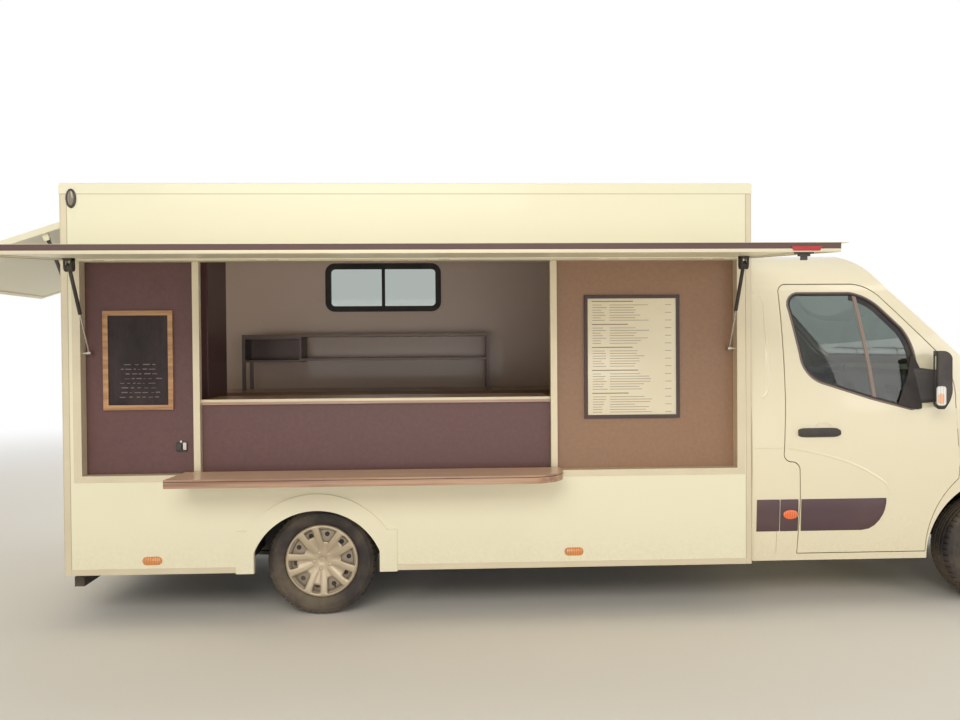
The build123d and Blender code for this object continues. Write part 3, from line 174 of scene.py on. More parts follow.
# %% Wires and recipes
class Wire:
    """One value that runs out of a node, on which sums can be done."""

    def __init__(self, recipe, socket):
        self.recipe, self.socket = recipe, socket

    def __add__(self, other):
        return self.recipe.maths("ADD", self, other)

    def __mul__(self, other):
        return self.recipe.maths("MULTIPLY", self, other)

    def __sub__(self, other):
        return self.recipe.maths("SUBTRACT", self, other)

    def __rsub__(self, other):
        return self.recipe.maths("SUBTRACT", other, self)

    __radd__, __rmul__ = __add__, __mul__

    def above(self, limit, soft):
        """0 below a limit and 1 above it, with a soft step between."""
        return self.recipe.node(
            "ShaderNodeMapRange", {"interpolation_type": "SMOOTHSTEP"},
            {"Value": self, "From Min": limit - soft, "From Max": limit + soft}, "Result")


class Recipe:
    """A material and the one method that adds its nodes."""

    def __init__(self, name, **constants):
        self.material = bpy.data.materials.new(name)
        self.material.use_nodes = True
        self.tree = self.material.node_tree
        self.shader = self.tree.nodes["Principled BSDF"]
        for socket, value in constants.items():
            self.shader.inputs[socket.replace("_", " ")].default_value = value

    def node(self, kind, settings=None, sockets=None, out=0):
        made = self.tree.nodes.new(kind)
        for key, value in (settings or {}).items():
            setattr(made, key, value)
        for key, value in (sockets or {}).items():
            if isinstance(value, Wire):
                self.tree.links.new(value.socket, made.inputs[key])
            elif isinstance(value, tuple) and len(value) == 3 and made.inputs[key].type == "RGBA":
                made.inputs[key].default_value = (*value, 1)
            else:
                made.inputs[key].default_value = value
        return Wire(self, made.outputs[out])

    def place(self):
        """The point of the surface, in metres, which stays with the piece when it moves."""
        return self.node("ShaderNodeTexCoord", out="Object")

    def axis(self, letter):
        return self.node("ShaderNodeSeparateXYZ", None, {0: self.place()}, letter)

    def maths(self, operation, *terms):
        return self.node("ShaderNodeMath", {"operation": operation}, dict(enumerate(terms)))

    def vector(self, operation, *terms, out=0):
        return self.node("ShaderNodeVectorMath", {"operation": operation}, dict(enumerate(terms)), out)

    def noise(self, scale, detail=3.0, rough=0.5, stretch=None):
        point = self.place()
        if stretch:
            point = self.vector("MULTIPLY", point, stretch)
        return self.node("ShaderNodeTexNoise", None,
                         {"Vector": point, "Scale": scale, "Detail": detail, "Roughness": rough}, "Fac")

    def mix(self, mask, first, second):
        return self.node("ShaderNodeMix", {"data_type": "RGBA"}, {0: mask, 6: first, 7: second}, 2)

    def bump(self, height, strength, distance=0.001):
        self.feed(Normal=self.node("ShaderNodeBump", None,
                                   {"Height": height, "Strength": strength, "Distance": distance}))

    def feed(self, **wires):
        for socket, wire in wires.items():
            self.tree.links.new(wire.socket, self.shader.inputs[socket.replace("_", " ")])
        return self.material


def srgb(red, green, blue):
    """A colour as a picture editor gives it, 0 to 255, as the light it stands for."""
    return tuple(((c / 255 + 0.055) / 1.055) ** 2.4 if c > 10 else c / 3294.6 for c in (red, green, blue))


def dimmed(colour, share):
    return tuple(c * share for c in colour)


print("a warm white is", [round(c, 3) for c in srgb(240, 235, 208)])

# %% [markdown]
# ## Paint and panels
# The box is made of glossy laminate panels and the cab is painted steel. Both are a warm white. A real panel
# is never quite even: its gloss wavers a little, and road dust lies thin along the lower edges. So each white
# starts from its colour, lets a wide soft noise shift it by a few percent, and mixes in dust by height.
# Inside the box the white is darkened to a warm greige, as painted shade.

# %% White panels and cab paint
DUST = srgb(176, 158, 128)


def within(recipe, letter, low, high):
    """1 where a coordinate of the drawing, in metres, lies between two values."""
    wire = recipe.axis(letter) - getattr(AXLE, letter.lower())
    return wire.above(low, 0.001) * (1 - wire.above(high, 0.001))


def shaded_kitchen_walls(recipe):
    """1 on the surfaces that lie inside the box, where the white is darkened to a painted shade."""
    inside_length = within(recipe, "X", -1.50, 2.66)
    return inside_length * within(recipe, "Y", -1.06, 1.06) * within(recipe, "Z", 0.43, 2.58)


def front_arch(recipe):
    """1 on the walls of the cab's wheel housings, which lie within 479 mm of the front axle's line."""
    from_axle = recipe.vector("SUBTRACT", recipe.place(), at(WHEELBASE, 0, HUB_HEIGHT))
    reach = recipe.vector("LENGTH", recipe.vector("MULTIPLY", from_axle, (1, 0, 1)), out="Value")
    return (1 - reach.above(0.4795, 0.001)) * (1 - within(recipe, "Y", -0.538, 0.538))


def white_finish(name, colour, gloss, coat, dust_top, dust_share, hidden=None, hidden_colour_and_shade=None):
    """A white with dust below a height. Hidden surfaces take another colour: dark in the cab's wheel
    housings, and a painted shade inside the box.
    """
    recipe = Recipe(name, Coat_Weight=coat, Coat_Roughness=0.06)
    wide = recipe.noise(1.3, 2.0)
    fine = recipe.noise(55.0, 4.0, 0.6)
    base = recipe.mix(wide, dimmed(colour, 0.955), colour)
    # the hidden colour is the housings' own dark, and inside the box a painted shade
    if hidden:
        base = recipe.mix(hidden(recipe), base, hidden_colour_and_shade)
    low = 1 - recipe.axis("Z").above(dust_top, dust_top * 0.55)
    dust = low * fine.above(0.50, 0.22) * dust_share
    recipe.feed(Base_Color=recipe.mix(dust, base, DUST), Roughness=wide * 0.08 + gloss + dust * 0.35)
    recipe.bump(recipe.noise(9.0, 2.0), 0.06, 0.004)
    return recipe.material


finishes = {
    # srgb(216, 193, 179) inside the box is painted shade on the white walls
    "body_panel": white_finish("white_laminate", srgb(241, 236, 208), 0.36, 0.15, 0.42, 0.16,
                               shaded_kitchen_walls, srgb(216, 193, 179)),
    "cab_paint": white_finish("cab_white_paint", srgb(240, 231, 202), 0.22, 0.7, 0.42, 0.18,
                              front_arch, srgb(28, 25, 25)),
}
print(len(finishes), "white finishes")

# %% [markdown]
# ## Metal
# Extruded aluminium shows faint lines along its length and a satin gloss, bare steel rods are brighter, and
# the chassis has a matt black coat with dust on it. The lines come from a noise that is stretched some thirty
# times along X, the way most of these parts run.

# %% Metal finishes
EVEN, BRUSHED = (1.0, 1.0, 1.0), (0.03, 1.0, 1.0)


def metal_finish(name, colour, rough, stretch, metallic=1.0, unevenness=0.14):
    recipe = Recipe(name, Metallic=metallic)
    lines = recipe.noise(60.0, 3.0, 0.6, stretch)
    patches = recipe.noise(4.0, 3.0)
    recipe.feed(Base_Color=recipe.mix(patches, dimmed(colour, 0.82), colour),
                Roughness=lines * unevenness + rough)
    recipe.bump(lines, 0.12, 0.0006)
    return recipe.material


def coat_finish(name, colour, rough, dust_share=0.35, grain=180.0, depth=0.25):
    """A dull coat or moulded plastic: an even colour with grain, and dust where the noise is high."""
    recipe = Recipe(name)
    grains = recipe.noise(grain, 3.0, 0.6)
    patches = recipe.noise(3.0, 4.0, 0.6)
    dust = patches.above(0.56, 0.2) * dust_share
    dusty = tuple(0.5 * c + 0.5 * d for c, d in zip(colour, DUST))
    recipe.feed(Base_Color=recipe.mix(dust, colour, dusty), Roughness=patches * 0.12 + rough)
    recipe.bump(grains, depth, 0.0005)
    return recipe.material


finishes.update({
    "edge_metal": metal_finish("satin_aluminium", srgb(226, 214, 186), 0.42, (0.04, 1.0, 1.0), 0.3),
    "steel": metal_finish("brushed_steel", srgb(205, 202, 196), 0.22, BRUSHED),
    "frame_black": coat_finish("chassis_black", srgb(34, 32, 32), 0.62, 0.5),
    "cast": coat_finish("bare_casting", srgb(92, 88, 84), 0.68, 0.4, 90.0, 0.5),
    "silver_trim": metal_finish("silver_trim_paint", srgb(196, 186, 168), 0.32, EVEN, 0.55, 0.08),
})
print(len(finishes), "finishes so far")

# %% [markdown]
# ## Dark laminate and the counter
# The panels round the opening are a dark brown laminate with a fine mottle, and the tall one behind the menu
# is a lighter brown. Counter and shelf are varnished boards: long grain, a few darker streaks, and gloss that
# drops where hands and trays have rubbed. The grain is noise stretched along X, the way the boards run.

# %% Laminate and board
MENU_SIDE = 1470  # X from which the laminate is the lighter brown


def laminate_finish():
    recipe = Recipe("brown_laminate")
    mottle = recipe.noise(38.0, 5.0, 0.65)
    cloud = recipe.noise(1.6, 3.0, 0.6)
    dark = recipe.mix(mottle, srgb(74, 46, 48), srgb(106, 70, 68))
    light = recipe.mix(mottle, srgb(132, 100, 78), srgb(158, 122, 94))
    tall_side = recipe.axis("X").above(at(MENU_SIDE, 0, 0).x, 0.002)
    worn = recipe.mix(cloud * 0.35, dark, srgb(116, 82, 78))
    recipe.feed(Base_Color=recipe.mix(tall_side, worn, light), Roughness=cloud * 0.14 + 0.36)
    recipe.bump(mottle, 0.12, 0.0008)
    return recipe.material


def board_finish(name, dark, light, gloss, painted_sunlit_top=None):
    """Varnished wood. Where a top colour is given, the faces that look up are mixed towards it: painted
    sunlight.
    """
    recipe = Recipe(name, Coat_Weight=0.4, Coat_Roughness=0.12)
    grain = recipe.noise(26.0, 6.0, 0.62, (0.035, 1.0, 1.0))
    streak = recipe.noise(5.0, 2.0, 0.5, (0.05, 1.0, 1.0))
    rubbed = recipe.noise(2.2, 3.0, 0.6)
    wood = recipe.mix(grain.above(0.50, 0.16), dark, light)
    wood = recipe.mix(streak.above(0.60, 0.10) * 0.5, wood, dimmed(dark, 0.55))
    # faces that look up are lightened: painted sunlight on the top, not a faded varnish
    if painted_sunlit_top:
        facing = recipe.node("ShaderNodeNewGeometry", out="Normal")
        upward = recipe.node("ShaderNodeSeparateXYZ", None, {0: facing}, "Z").above(0.5, 0.1)
        wood = recipe.mix(upward * (grain * 0.3 + 0.6), wood, painted_sunlit_top)
    recipe.feed(Base_Color=wood, Roughness=rubbed * 0.22 + gloss)
    recipe.bump(grain, 0.18, 0.0007)
    return recipe.material


WOOD_DARK, WOOD_LIGHT = srgb(146, 110, 88), srgb(190, 152, 124)
finishes["dark_panel"] = laminate_finish()
finishes["counter"] = board_finish("counter_board", WOOD_DARK, WOOD_LIGHT, 0.24)
print("boards and laminate ready")

# %% [markdown]
# ## Plastic, rubber, lenses, cloth and glass
# Moulded black plastic has a fine grain and goes a little grey outdoors. Lenses are coloured plastic with a
# clear coat, and a small part of their colour is given as light: a painted glow, for the lamps are off.
# Window glass is real glass to the renderer, faintly green.

# %% Plastic, rubber, lenses, cloth, glass
def lens_finish(name, colour, painted_glow):
    # the lens colour is partly given as light: a painted glow on lamps that are off
    recipe = Recipe(name, Roughness=0.12, Coat_Weight=0.6, Coat_Roughness=0.03, Emission_Strength=painted_glow)
    ribs = recipe.node("ShaderNodeTexWave", {"bands_direction": "X"},
                       {"Vector": recipe.place(), "Scale": 22.0, "Distortion": 0.0}, "Fac")
    tint = recipe.mix(ribs, dimmed(colour, 0.72), colour)
    recipe.feed(Base_Color=tint, Emission_Color=tint)
    recipe.bump(ribs, 0.5, 0.0015)
    return recipe.material


def glass_finish(name, tint):
    recipe = Recipe(name, Transmission_Weight=1.0, IOR=1.45, Base_Color=(*tint, 1))
    smear = recipe.noise(3.0, 4.0, 0.6)
    recipe.feed(Roughness=smear.above(0.6, 0.15) * 0.03)
    return recipe.material


def cloth_finish():
    recipe = Recipe("seat_cloth", Sheen_Weight=0.4)
    weave = recipe.node("ShaderNodeTexVoronoi", {"feature": "F1"},
                        {"Vector": recipe.place(), "Scale": 420.0}, "Distance")
    patches = recipe.noise(7.0, 3.0)
    recipe.feed(Base_Color=recipe.mix(weave, srgb(34, 34, 38), srgb(72, 72, 78)),
                Roughness=patches * 0.1 + 0.82)
    recipe.bump(weave, 0.6, 0.0008)
    return recipe.material


finishes.update({
    "black_plastic": coat_finish("grained_black_plastic", srgb(42, 38, 40), 0.46, 0.22, 420.0, 0.35),
    "rubber": coat_finish("seal_rubber", srgb(30, 28, 29), 0.55, 0.25, 90.0, 0.2),
    "tyre": coat_finish("tyre_rubber", srgb(50, 44, 44), 0.66, 0.75, 60.0, 0.35),
    "amber_lens": lens_finish("amber_lens", srgb(222, 146, 80), 0.10),
    "red_lens": lens_finish("red_lens", srgb(176, 30, 28), 0.08),
    "clear_lens": lens_finish("clear_lens", srgb(214, 214, 208), 0.05),
    "seat_cloth": cloth_finish(),
    "glass": glass_finish("window_glass", srgb(176, 184, 180)),
    "red_black": coat_finish("red_pad", srgb(178, 40, 44), 0.35, 0.1, 200.0, 0.1),
})
print(len(finishes), "finishes in all")

# %% [markdown]
# ## Every solid gets its finish
# The imported record says which material slot each solid uses. One loop reads that and puts the finish of the
# same name in the solid's first slot, so a new solid is dressed as soon as it exists. Two solids differ here:
# the serving shelf's top is painted lighter, as painted sunlight, and the kitchen rack is a darker steel. The
# studio's floor is painted to fade out into the white behind it.

# %% Dress the solids
slot_of = {row["node"]: row["material_slot"] for row in frame["record"]["subparts"]}
for name, solid in nodes.items():
    solid.data.materials.clear()
    solid.data.materials.append(finishes[slot_of[name]])
# the shelf's top colour srgb(244, 208, 178) is painted sunlight
nodes["serving_shelf"].data.materials[0] = board_finish("shelf_board", WOOD_DARK, WOOD_LIGHT, 0.3,
                                                        srgb(244, 208, 178))
nodes["wall_shelf"].data.materials[0] = metal_finish("rack_metal", srgb(112, 98, 94), 0.36, BRUSHED, 0.6)
print("dressed", len(nodes), "solids")

# %% Paint of the floor
paint = Recipe("studio_floor_paint", Roughness=0.9)
paint.feed(Base_Color=paint.mix(paint.noise(0.4), srgb(240, 236, 228), srgb(246, 242, 235)))
far_out = paint.vector("LENGTH", paint.place(), out="Value")
fade, horizon = (paint.tree.nodes.new("ShaderNode" + kind) for kind in ("MixShader", "Emission"))
for source, target in (
        (far_out.above(11.0, 5.5).socket, fade.inputs[0]), (paint.shader.outputs[0], fade.inputs[1]),
        (horizon.outputs[0], fade.inputs[2]),
        (fade.outputs[0], paint.tree.nodes["Material Output"].inputs["Surface"])):
    paint.tree.links.new(source, target)
floor.data.materials.append(paint.material)
print("floor painted")

# %% [markdown]
# ## A way to build small solids
# Most added pieces are simple: a plate, a bar, a strip with a certain section. All of them can be made by
# joining rings of points into a skin, which modellers call a loft. One small class gathers such skins,
# written in the drawing's millimetres, and its last method turns them into a piece with soft edges and a
# finish. A bar and a tube are lofts too, through circles that face along their path.

# %% Circles, forms and pieces
def circle(centre, turn, radius, sides):
    """Points round a centre, in the plane that a rotation turns the XY plane to."""
    angles = (math.tau * k / sides for k in range(sides))
    return [tuple(centre + turn @ Vector((radius * math.cos(a), radius * math.sin(a), 0))) for a in angles]


class Form:
    """Gathers lofted skins. A place function may put them on another plane, such as the open flap's."""

    def __init__(self, place=None):
        self.place = place or (lambda *point: point)
        self.points, self.faces = [], []

    def loft(self, rings, closed=False):
        """A skin through rings of equal count, ended flat unless the last ring joins the first."""
        size, count, start = len(rings[0]), len(rings), len(self.points)
        self.points += [at(*self.place(*point)) for ring in rings for point in ring]
        skin = [[r % count * size + i % size for r, i in ((k, j), (k, j + 1), (k + 1, j + 1), (k + 1, j))]
                for k in range(count if closed else count - 1) for j in range(size)]
        if not closed:
            skin += [list(range(size)), list(range((count - 1) * size, count * size))]
        self.faces += [[start + corner for corner in face] for face in skin]
        return self

    def box(self, x, y, z):
        corners = ((0, 0), (1, 0), (1, 1), (0, 1))
        return self.loft([[(x[i], y[j], height) for i, j in corners] for height in z])

    def bar(self, start, end, radius, end_radius=None, sides=20):
        start, end = Vector(start), Vector(end)
        turn = (end - start).to_track_quat("Z", "Y")
        end_radius = radius if end_radius is None else end_radius
        return self.loft([circle(start, turn, radius, sides), circle(end, turn, end_radius, sides)])

    def plate(self, outline, plane, low, high):
        """An outline drawn in the XZ, YZ or XY plane, with thickness along the third axis."""
        order = {"XZ": (0, 2, 1), "YZ": (2, 0, 1), "XY": (0, 1, 2)}[plane]
        rings = [[tuple((*point, level)[k] for k in order) for point in outline] for level in (low, high)]
        return self.loft(rings)

    def tube(self, path, radius, sides=10, closed=False):
        """A round tube along a path of points."""
        rings, count = [], len(path)
        for k, point in enumerate(path):
            after = path[(k + 1) % count] if closed or k + 1 < count else point
            before = path[k - 1] if closed or k else point
            turn = (Vector(after) - Vector(before)).to_track_quat("Z", "Y")
            rings.append(circle(Vector(point), turn, radius, sides))
        return self.loft(rings, closed)

    def piece(self, name, slot, body="truck", bevel=0.0, finish=None, smooth=38):
        """The finished piece: edges softened by the bevel in millimetres, riding on a body."""
        mesh = bpy.data.meshes.new(name)
        mesh.from_pydata(self.points, [], self.faces)
        shaper = bmesh.new()
        shaper.from_mesh(mesh)
        bmesh.ops.recalc_face_normals(shaper, faces=shaper.faces)
        if bevel:
            sharp = [edge for edge in shaper.edges if edge.calc_face_angle(0) > math.radians(28)]
            bmesh.ops.bevel(shaper, geom=sharp, offset=bevel / 1000, segments=2, profile=0.6, affect="EDGES")
        shaper.to_mesh(mesh)
        shaper.free()
        mesh.shade_smooth()
        mesh.set_sharp_from_angle(angle=math.radians(smooth))
        mesh.materials.append(finish or finishes[slot])
        made = bpy.data.objects.new(name, mesh)
        scene.collection.objects.link(made)
        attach(made, body)
        return made


def rounded(left, right, low, high, radius, steps=5):
    """The outline of a rectangle with round corners."""
    corners = ((right - radius, high - radius, 0), (left + radius, high - radius, 90),
               (left + radius, low + radius, 180), (right - radius, low + radius, 270))
    return [(x + radius * math.cos(math.radians(turn + 90 * k / steps)),
             z + radius * math.sin(math.radians(turn + 90 * k / steps)))
            for x, z, turn in corners for k in range(steps + 1)]


def drawn_in(left, right, low, high, radius, inset):
    """The same outline with every side moved in by the inset."""
    return rounded(left + inset, right - inset, low + inset, high - inset, radius - inset)


def spread(first, last, count):
    """The ends of that many equal steps, both outer ends included."""
    return [first + (last - first) * k / count for k in range(count + 1)]


def oval(x, z, half_width, half_height, steps=40):
    angles = (math.tau * k / steps for k in range(steps))
    return [(x + half_width * math.cos(a), z + half_height * math.sin(a)) for a in angles]


print("forms ready")

# %% [markdown]
# ## Finding the cab's skin
# The cab is curved in every direction, so a strip or a seal on it cannot be placed by eye. A ray shot at the
# solids from the side, or from the front, tells where the skin is and which way it faces. Strips, seals and
# lips are then lofts whose rings lie on those points, lifted a few millimetres. Their lines are drawn flat,
# from straight parts and arcs, and the rays lay them on the skin.

# %% Rays at the cab
CAB = ("cab_shell", "door_right", "door_left", "door_glass_right", "door_glass_left", "front_bumper",
       "bonnet", "windscreen", "grille", "headlamps")
skin_points, skin_faces = [], []
for name in CAB:
    base = len(skin_points)
    skin_points += [vertex.co.copy() for vertex in nodes[name].data.vertices]
    skin_faces += [[base + corner for corner in face.vertices] for face in nodes[name].data.polygons]
cab_skin = BVHTree.FromPolygons(skin_points, skin_faces)


def struck(start, way):
    """Where a ray meets the cab, in the drawing's millimetres, and the skin's direction there."""
    hit, normal, _, _ = cab_skin.ray_cast(at(*start), Vector(way))
    if hit is None:
        raise ValueError(f"no skin from {start}")
    facing = normal if normal.dot(Vector(way)) < 0 else -normal
    return (hit - AXLE) * 1000, facing


def beside(side):
    """Finds the cab's flank from an X and a Z."""
    return lambda x, z: struck((x, side * 1600, z), (0, -side, 0))


def ahead(y, z):
    """Finds the cab's front from a Y and a Z."""
    return struck((5600, y, z), (-1, 0, 0))


print("cab skin has", len(skin_faces), "faces")


# %% Lines on the skin, and pieces that hug it
def trace(*parts, step=35.0):
    """A line of places from straight parts (two points) and arcs (three points)."""
    line = []
    for part in parts:
        first, last = Vector(part[0]), Vector(part[-1])
        if len(part) == 2:
            count = max(1, round((last - first).length / step))
            line += [tuple(first.lerp(last, k / count)) for k in range(count)]
            continue
        (ax, ay), (bx, by), (cx, cy) = part
        twice = 2 * (ax * (by - cy) + bx * (cy - ay) + cx * (ay - by))
        squares = [x * x + y * y for x, y in part]
        middle = Vector(((squares[0] * (by - cy) + squares[1] * (cy - ay) + squares[2] * (ay - by)) / twice,
                         (squares[0] * (cx - bx) + squares[1] * (ax - cx) + squares[2] * (bx - ax)) / twice))
        turns = [math.atan2(*reversed(Vector(point) - middle)) for point in part]
        sweep = (turns[2] - turns[0]) % math.tau
        if (turns[1] - turns[0]) % math.tau > sweep:
            sweep -= math.tau
        radius = (first - middle).length
        count = max(4, round(abs(sweep) * radius / step))
        line += [(middle.x + radius * math.cos(turns[0] + sweep * k / count),
                  middle.y + radius * math.sin(turns[0] + sweep * k / count)) for k in range(count)]
    return line


def across(line, offsets, closed=False):
    """Sections square to a line of places, each a row of points at the offsets from it."""
    sections, count = [], len(line)
    for k, place in enumerate(line):
        after = line[(k + 1) % count] if closed or k + 1 < count else place
        before = line[k - 1] if closed or k else place
        along = (Vector(after) - Vector(before)).normalized()
        sections.append([(place[0] - along.y * offset, place[1] + along.x * offset) for offset in offsets])
    return sections


def hugging(sections, lifts, find, sunk=2.0, closed=False):
    """A piece on the skin: each section is a row of places across it, each place with its own lift."""
    rings = []
    for section in sections:
        found = [find(*place) for place in section]
        ring = [found[0][0] - found[0][1] * sunk]
        ring += [spot + facing * lift for (spot, facing), lift in zip(found, lifts)]
        ring += [found[-1][0] - found[-1][1] * sunk]
        rings.append([tuple(point) for point in ring])
    return Form().loft(rings, closed)


def field(xs, low, high, shares):
    """Sections at the given X, each with places at the shares of the way from the low to the high edge."""
    return [[(x, low(x) + share * (high(x) - low(x))) for share in shares] for x in xs]


print("lines can be laid on", len(CAB), "solids")

# %% [markdown]
# ## Tyres
# A tyre's tread is what makes it read as rubber. Its section is drawn once, from the bead over the sidewall
# to the middle of the tread, with grooves that run all the way round. It is then swept round the axle in 54
# steps, and in the last fifth of every step the shoulders are cut in, which leaves a row of blocks.

# %% Treaded tyres
# radius, distance from the middle, how far the cuts between blocks go in
TYRE_HALF = (
    (206, 76, 0), (214, 81, 0), (226, 83, 0), (229, 90, 0), (238, 99, 0), (262, 109.5, 0), (282, 112, 0),
    (296, 110.8, 0), (298, 112.2, 0), (302, 111.6, 0), (304, 109.6, 0), (314, 105, 0), (323, 99, 2),
    (329, 92, 5), (334, 83, 7), (336.6, 72, 8), (337.6, 62, 8), (330, 60.5, 1), (330, 53, 1),
    (338.4, 51.5, 2), (339.2, 30, 2), (331, 28.5, 0), (331, 20, 0), (339.6, 18.5, 1), (340, 4.5, 0),
    (333, 3.5, 0), (333, 0, 0),
)
TYRE_STEPS = 54
BLOCK_PLACES = ((0.0, 0), (0.78, 0), (0.81, 1), (0.97, 1))


def tyre_rings(x, y, z):
    section = [*TYRE_HALF, *((r, -a, cut) for r, a, cut in reversed(TYRE_HALF[:-1]))]
    rings = []
    for step in range(TYRE_STEPS):
        for share, is_cut in BLOCK_PLACES:
            turn = math.tau * (step + share) / TYRE_STEPS
            way = (math.cos(turn), math.sin(turn))
            rings.append([(x + (r - cut * is_cut) * way[0], y + a, z + (r - cut * is_cut) * way[1])
                          for r, a, cut in section])
    return rings


for corner, x, reach, side in WHEELS:
    tyre = Form().loft(tyre_rings(x, side * reach, HUB_HEIGHT), closed=True)
    made = tyre.piece("treaded_tyre_" + corner, "tyre", "wheel_" + corner, smooth=30)
    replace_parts(made, "tyre_" + corner)
print("tyre faces", len(tyre.faces))

# %% [markdown]
# ## Boards beside the opening
# A framed chalkboard hangs on the service door, and a framed menu on the fixed panel at the other end. The
# frames are four mitred bars. The slate carries rubbed chalk and rows of short strokes, and the menu only
# plain grey rules: item lines, every third with a short line at the right, and a heavier line above each
# group. Strokes and rules get their lengths from a random source whose seed is fixed, so every run draws the
# same ones.

# %% Chalkboard and menu
def framed(name, body, left, right, low, high, back, width, depth, finish, slot):
    """A picture frame whose back lies at the given Y, facing the street."""
    ring = [[(x, back, z), (x, back - depth, z), (x2, back - depth + 3, z2), (x2, back, z2)]
            for (x, z), (x2, z2) in (
                ((left, low), (left + width, low + width)), ((right, low), (right - width, low + width)),
                ((right, high), (right - width, high - width)), ((left, high), (left + width, high - width)))]
    return Form().loft(ring, closed=True).piece(name, slot, body, 1.2, finish, smooth=25)


def slate_finish():
    recipe = Recipe("chalked_slate", Roughness=0.72)
    smear = recipe.noise(7.0, 5.0, 0.7, (1.0, 1.0, 0.35))
    cloud = recipe.noise(3.0, 3.0)
    chalk = smear.above(0.52, 0.2) * cloud * 0.45
    recipe.feed(Base_Color=recipe.mix(chalk, srgb(30, 20, 25), srgb(110, 92, 92)))
    recipe.bump(recipe.noise(260.0, 2.0), 0.3, 0.0004)
    return recipe.material


def paper_finish():
    recipe = Recipe("menu_sheet", Roughness=0.32, Coat_Weight=0.3)
    wave = recipe.noise(2.4, 2.0)
    recipe.feed(Base_Color=recipe.mix(wave, srgb(226, 216, 188), srgb(238, 229, 203)))
    recipe.bump(wave, 0.3, 0.004)
    return recipe.material


SLATE_Y, SHEET_Y = -1003, -1006
frame_dark = coat_finish("menu_frame_dark", srgb(62, 44, 46), 0.4, 0.1)
pine = board_finish("frame_pine", srgb(158, 112, 72), srgb(198, 152, 104), 0.42)
framed("chalkboard_frame", "service_door", -1311, -889, 1301, 1911, -994, 30, 20, pine, "counter")
Form().box((-1283, -917), (SLATE_Y, -994), (1329, 1883)) \
    .piece("chalkboard_slate", "black_plastic", "service_door", 0.5, slate_finish())
framed("menu_frame", "truck", 1653, 2256, 1218, 1992, -1000, 22, 14, frame_dark, "black_plastic")
Form().box((1669, 2242), (SHEET_Y, -1000), (1234, 1978)) \
    .piece("menu_sheet", "edge_metal", "truck", 0.4, paper_finish())
print("boards hung")

# %% Strokes on the slate
STROKES_FROM, STROKES_TO = -1215, -985
random.seed(11)
chalk = Form()
for level in spread(1580, 1380, 7):
    x = STROKES_FROM + random.randint(0, 40)
    while x < STROKES_TO:
        length = random.randint(12, 46)
        chalk.box((x, x + length), (SLATE_Y - 0.4, SLATE_Y), (level - 2.5, level + random.randint(0, 4)))
        x += length + random.randint(9, 26)
chalk.piece("chalk_strokes", "black_plastic", "service_door", finish=coat_finish(
    "chalk", srgb(126, 111, 107), 0.9, 0.3, 300.0, 0.4))
print("chalk strokes have", len(chalk.faces), "faces")

# %% Rules on the menu
HEADING_LEFT, ITEM_LEFT, TEXT_LEFT = 1702, 1706, 1815
SHORT_RULE = (2165, 2205)
random.seed(7)
rules = Form()
level = 1955
for group in range(5):
    heading = (HEADING_LEFT, HEADING_LEFT + random.randint(220, 330))
    rules.box(heading, (SHEET_Y - 0.6, SHEET_Y), (level - 6, level))
    level -= 24
    for row in range(7):
        item_length, text_length = random.randint(50, 95), random.randint(140, 270)
        spans = [(ITEM_LEFT, ITEM_LEFT + item_length), (TEXT_LEFT, TEXT_LEFT + text_length)]
        for span in spans + [SHORT_RULE] * (row % 3 == 0):
            rules.box(span, (SHEET_Y - 0.5, SHEET_Y), (level - 3, level))
        level -= 16
    level -= 8
rules.piece("menu_rules", "frame_black", finish=coat_finish("printer_grey", srgb(146, 132, 120), 0.5, 0.0))
print("menu ends at height", level, "mm")

# %% [markdown]
# ## Wheels
# A wheel cover is all relief: a dished middle, pairs of spokes with a valley between them, and windows in two
# sizes. It is built as a grid in rings and columns whose columns follow the windows' edges. Leaving out the
# cells inside a window opens it, and a height for every point gives the relief. Behind it lie the steel disc
# and the rim, turned round the axle like the tyres, with black discs as painted shade in the disc's round
# vents. Bolts stand round the middle.

# %% The cover's grid
OPEN = {"wide": (118, 211), "small": (156, 204), "spoke": (999, 0)}  # the radii between which a part is open
RINGS = (0, 14, 22, 25, 36, 48, 60, 72, 90, 106, 118, 130, 143, 156, 172, 190, 204, 211, 214, 219, 224, 226)
# radius, height of the dish; then radius, half width of a window
DISH = ((0, 67), (22, 67.5), (25, 70), (60, 72), (72, 74), (100, 81), (135, 90), (170, 96), (204, 99),
        (213, 101), (219, 99.5), (224, 95), (226, 89))
WIDE_WINDOW = ((0, 0.2), (118, 17), (204, 54), (230, 61))
SMALL_WINDOW = ((0, 0.2), (60, 7), (156, 21), (204, 26), (230, 29))
WINDOW_TURN, FIFTH = 79, 72


def between(table, at_value):
    """A value read from a table of pairs, on the straight line between its neighbours."""
    for (x0, y0), (x1, y1) in zip(table, table[1:]):
        if at_value <= x1:
            return y0 + (y1 - y0) * (at_value - x0) / (x1 - x0)
    return table[-1][1]


def smooth_step(low, high, value):
    share = min(1.0, max(0.0, (value - low) / (high - low)))
    return share * share * (3 - 2 * share)


def cover_columns(r):
    """Angles from one small window's middle to the next, each with its part: small, spoke or wide."""
    reach, half = max(r, 1), FIFTH / 2
    wide, small = (math.degrees(math.atan(between(window, reach) / reach))
                   for window in (WIDE_WINDOW, SMALL_WINDOW))
    columns = []
    for start, end, cells, part in ((-half, small - half, 2, "small"), (small - half, -wide, 5, "spoke"),
                                    (-wide, wide, 4, "wide"), (wide, half - small, 5, "spoke"),
                                    (half - small, half, 2, "small")):
        columns += [(start + (end - start) * k / cells, part, k / cells if start < 0 else 1 - k / cells)
                    for k in range(cells)]
    return columns


def cover_height(r, part, share):
    """The dish's height, with the spokes raised and the windows' borders sunk between middle and rim."""
    fade = smooth_step(54, 100, r) * (1 - smooth_step(207, 213, r))
    spoke = 2.5 * min(1, 5 * share, 5 * (1 - share)) - 1.5 * share
    return between(DISH, r) + {"small": -5.5, "wide": -6.0, "spoke": spoke}[part] * fade


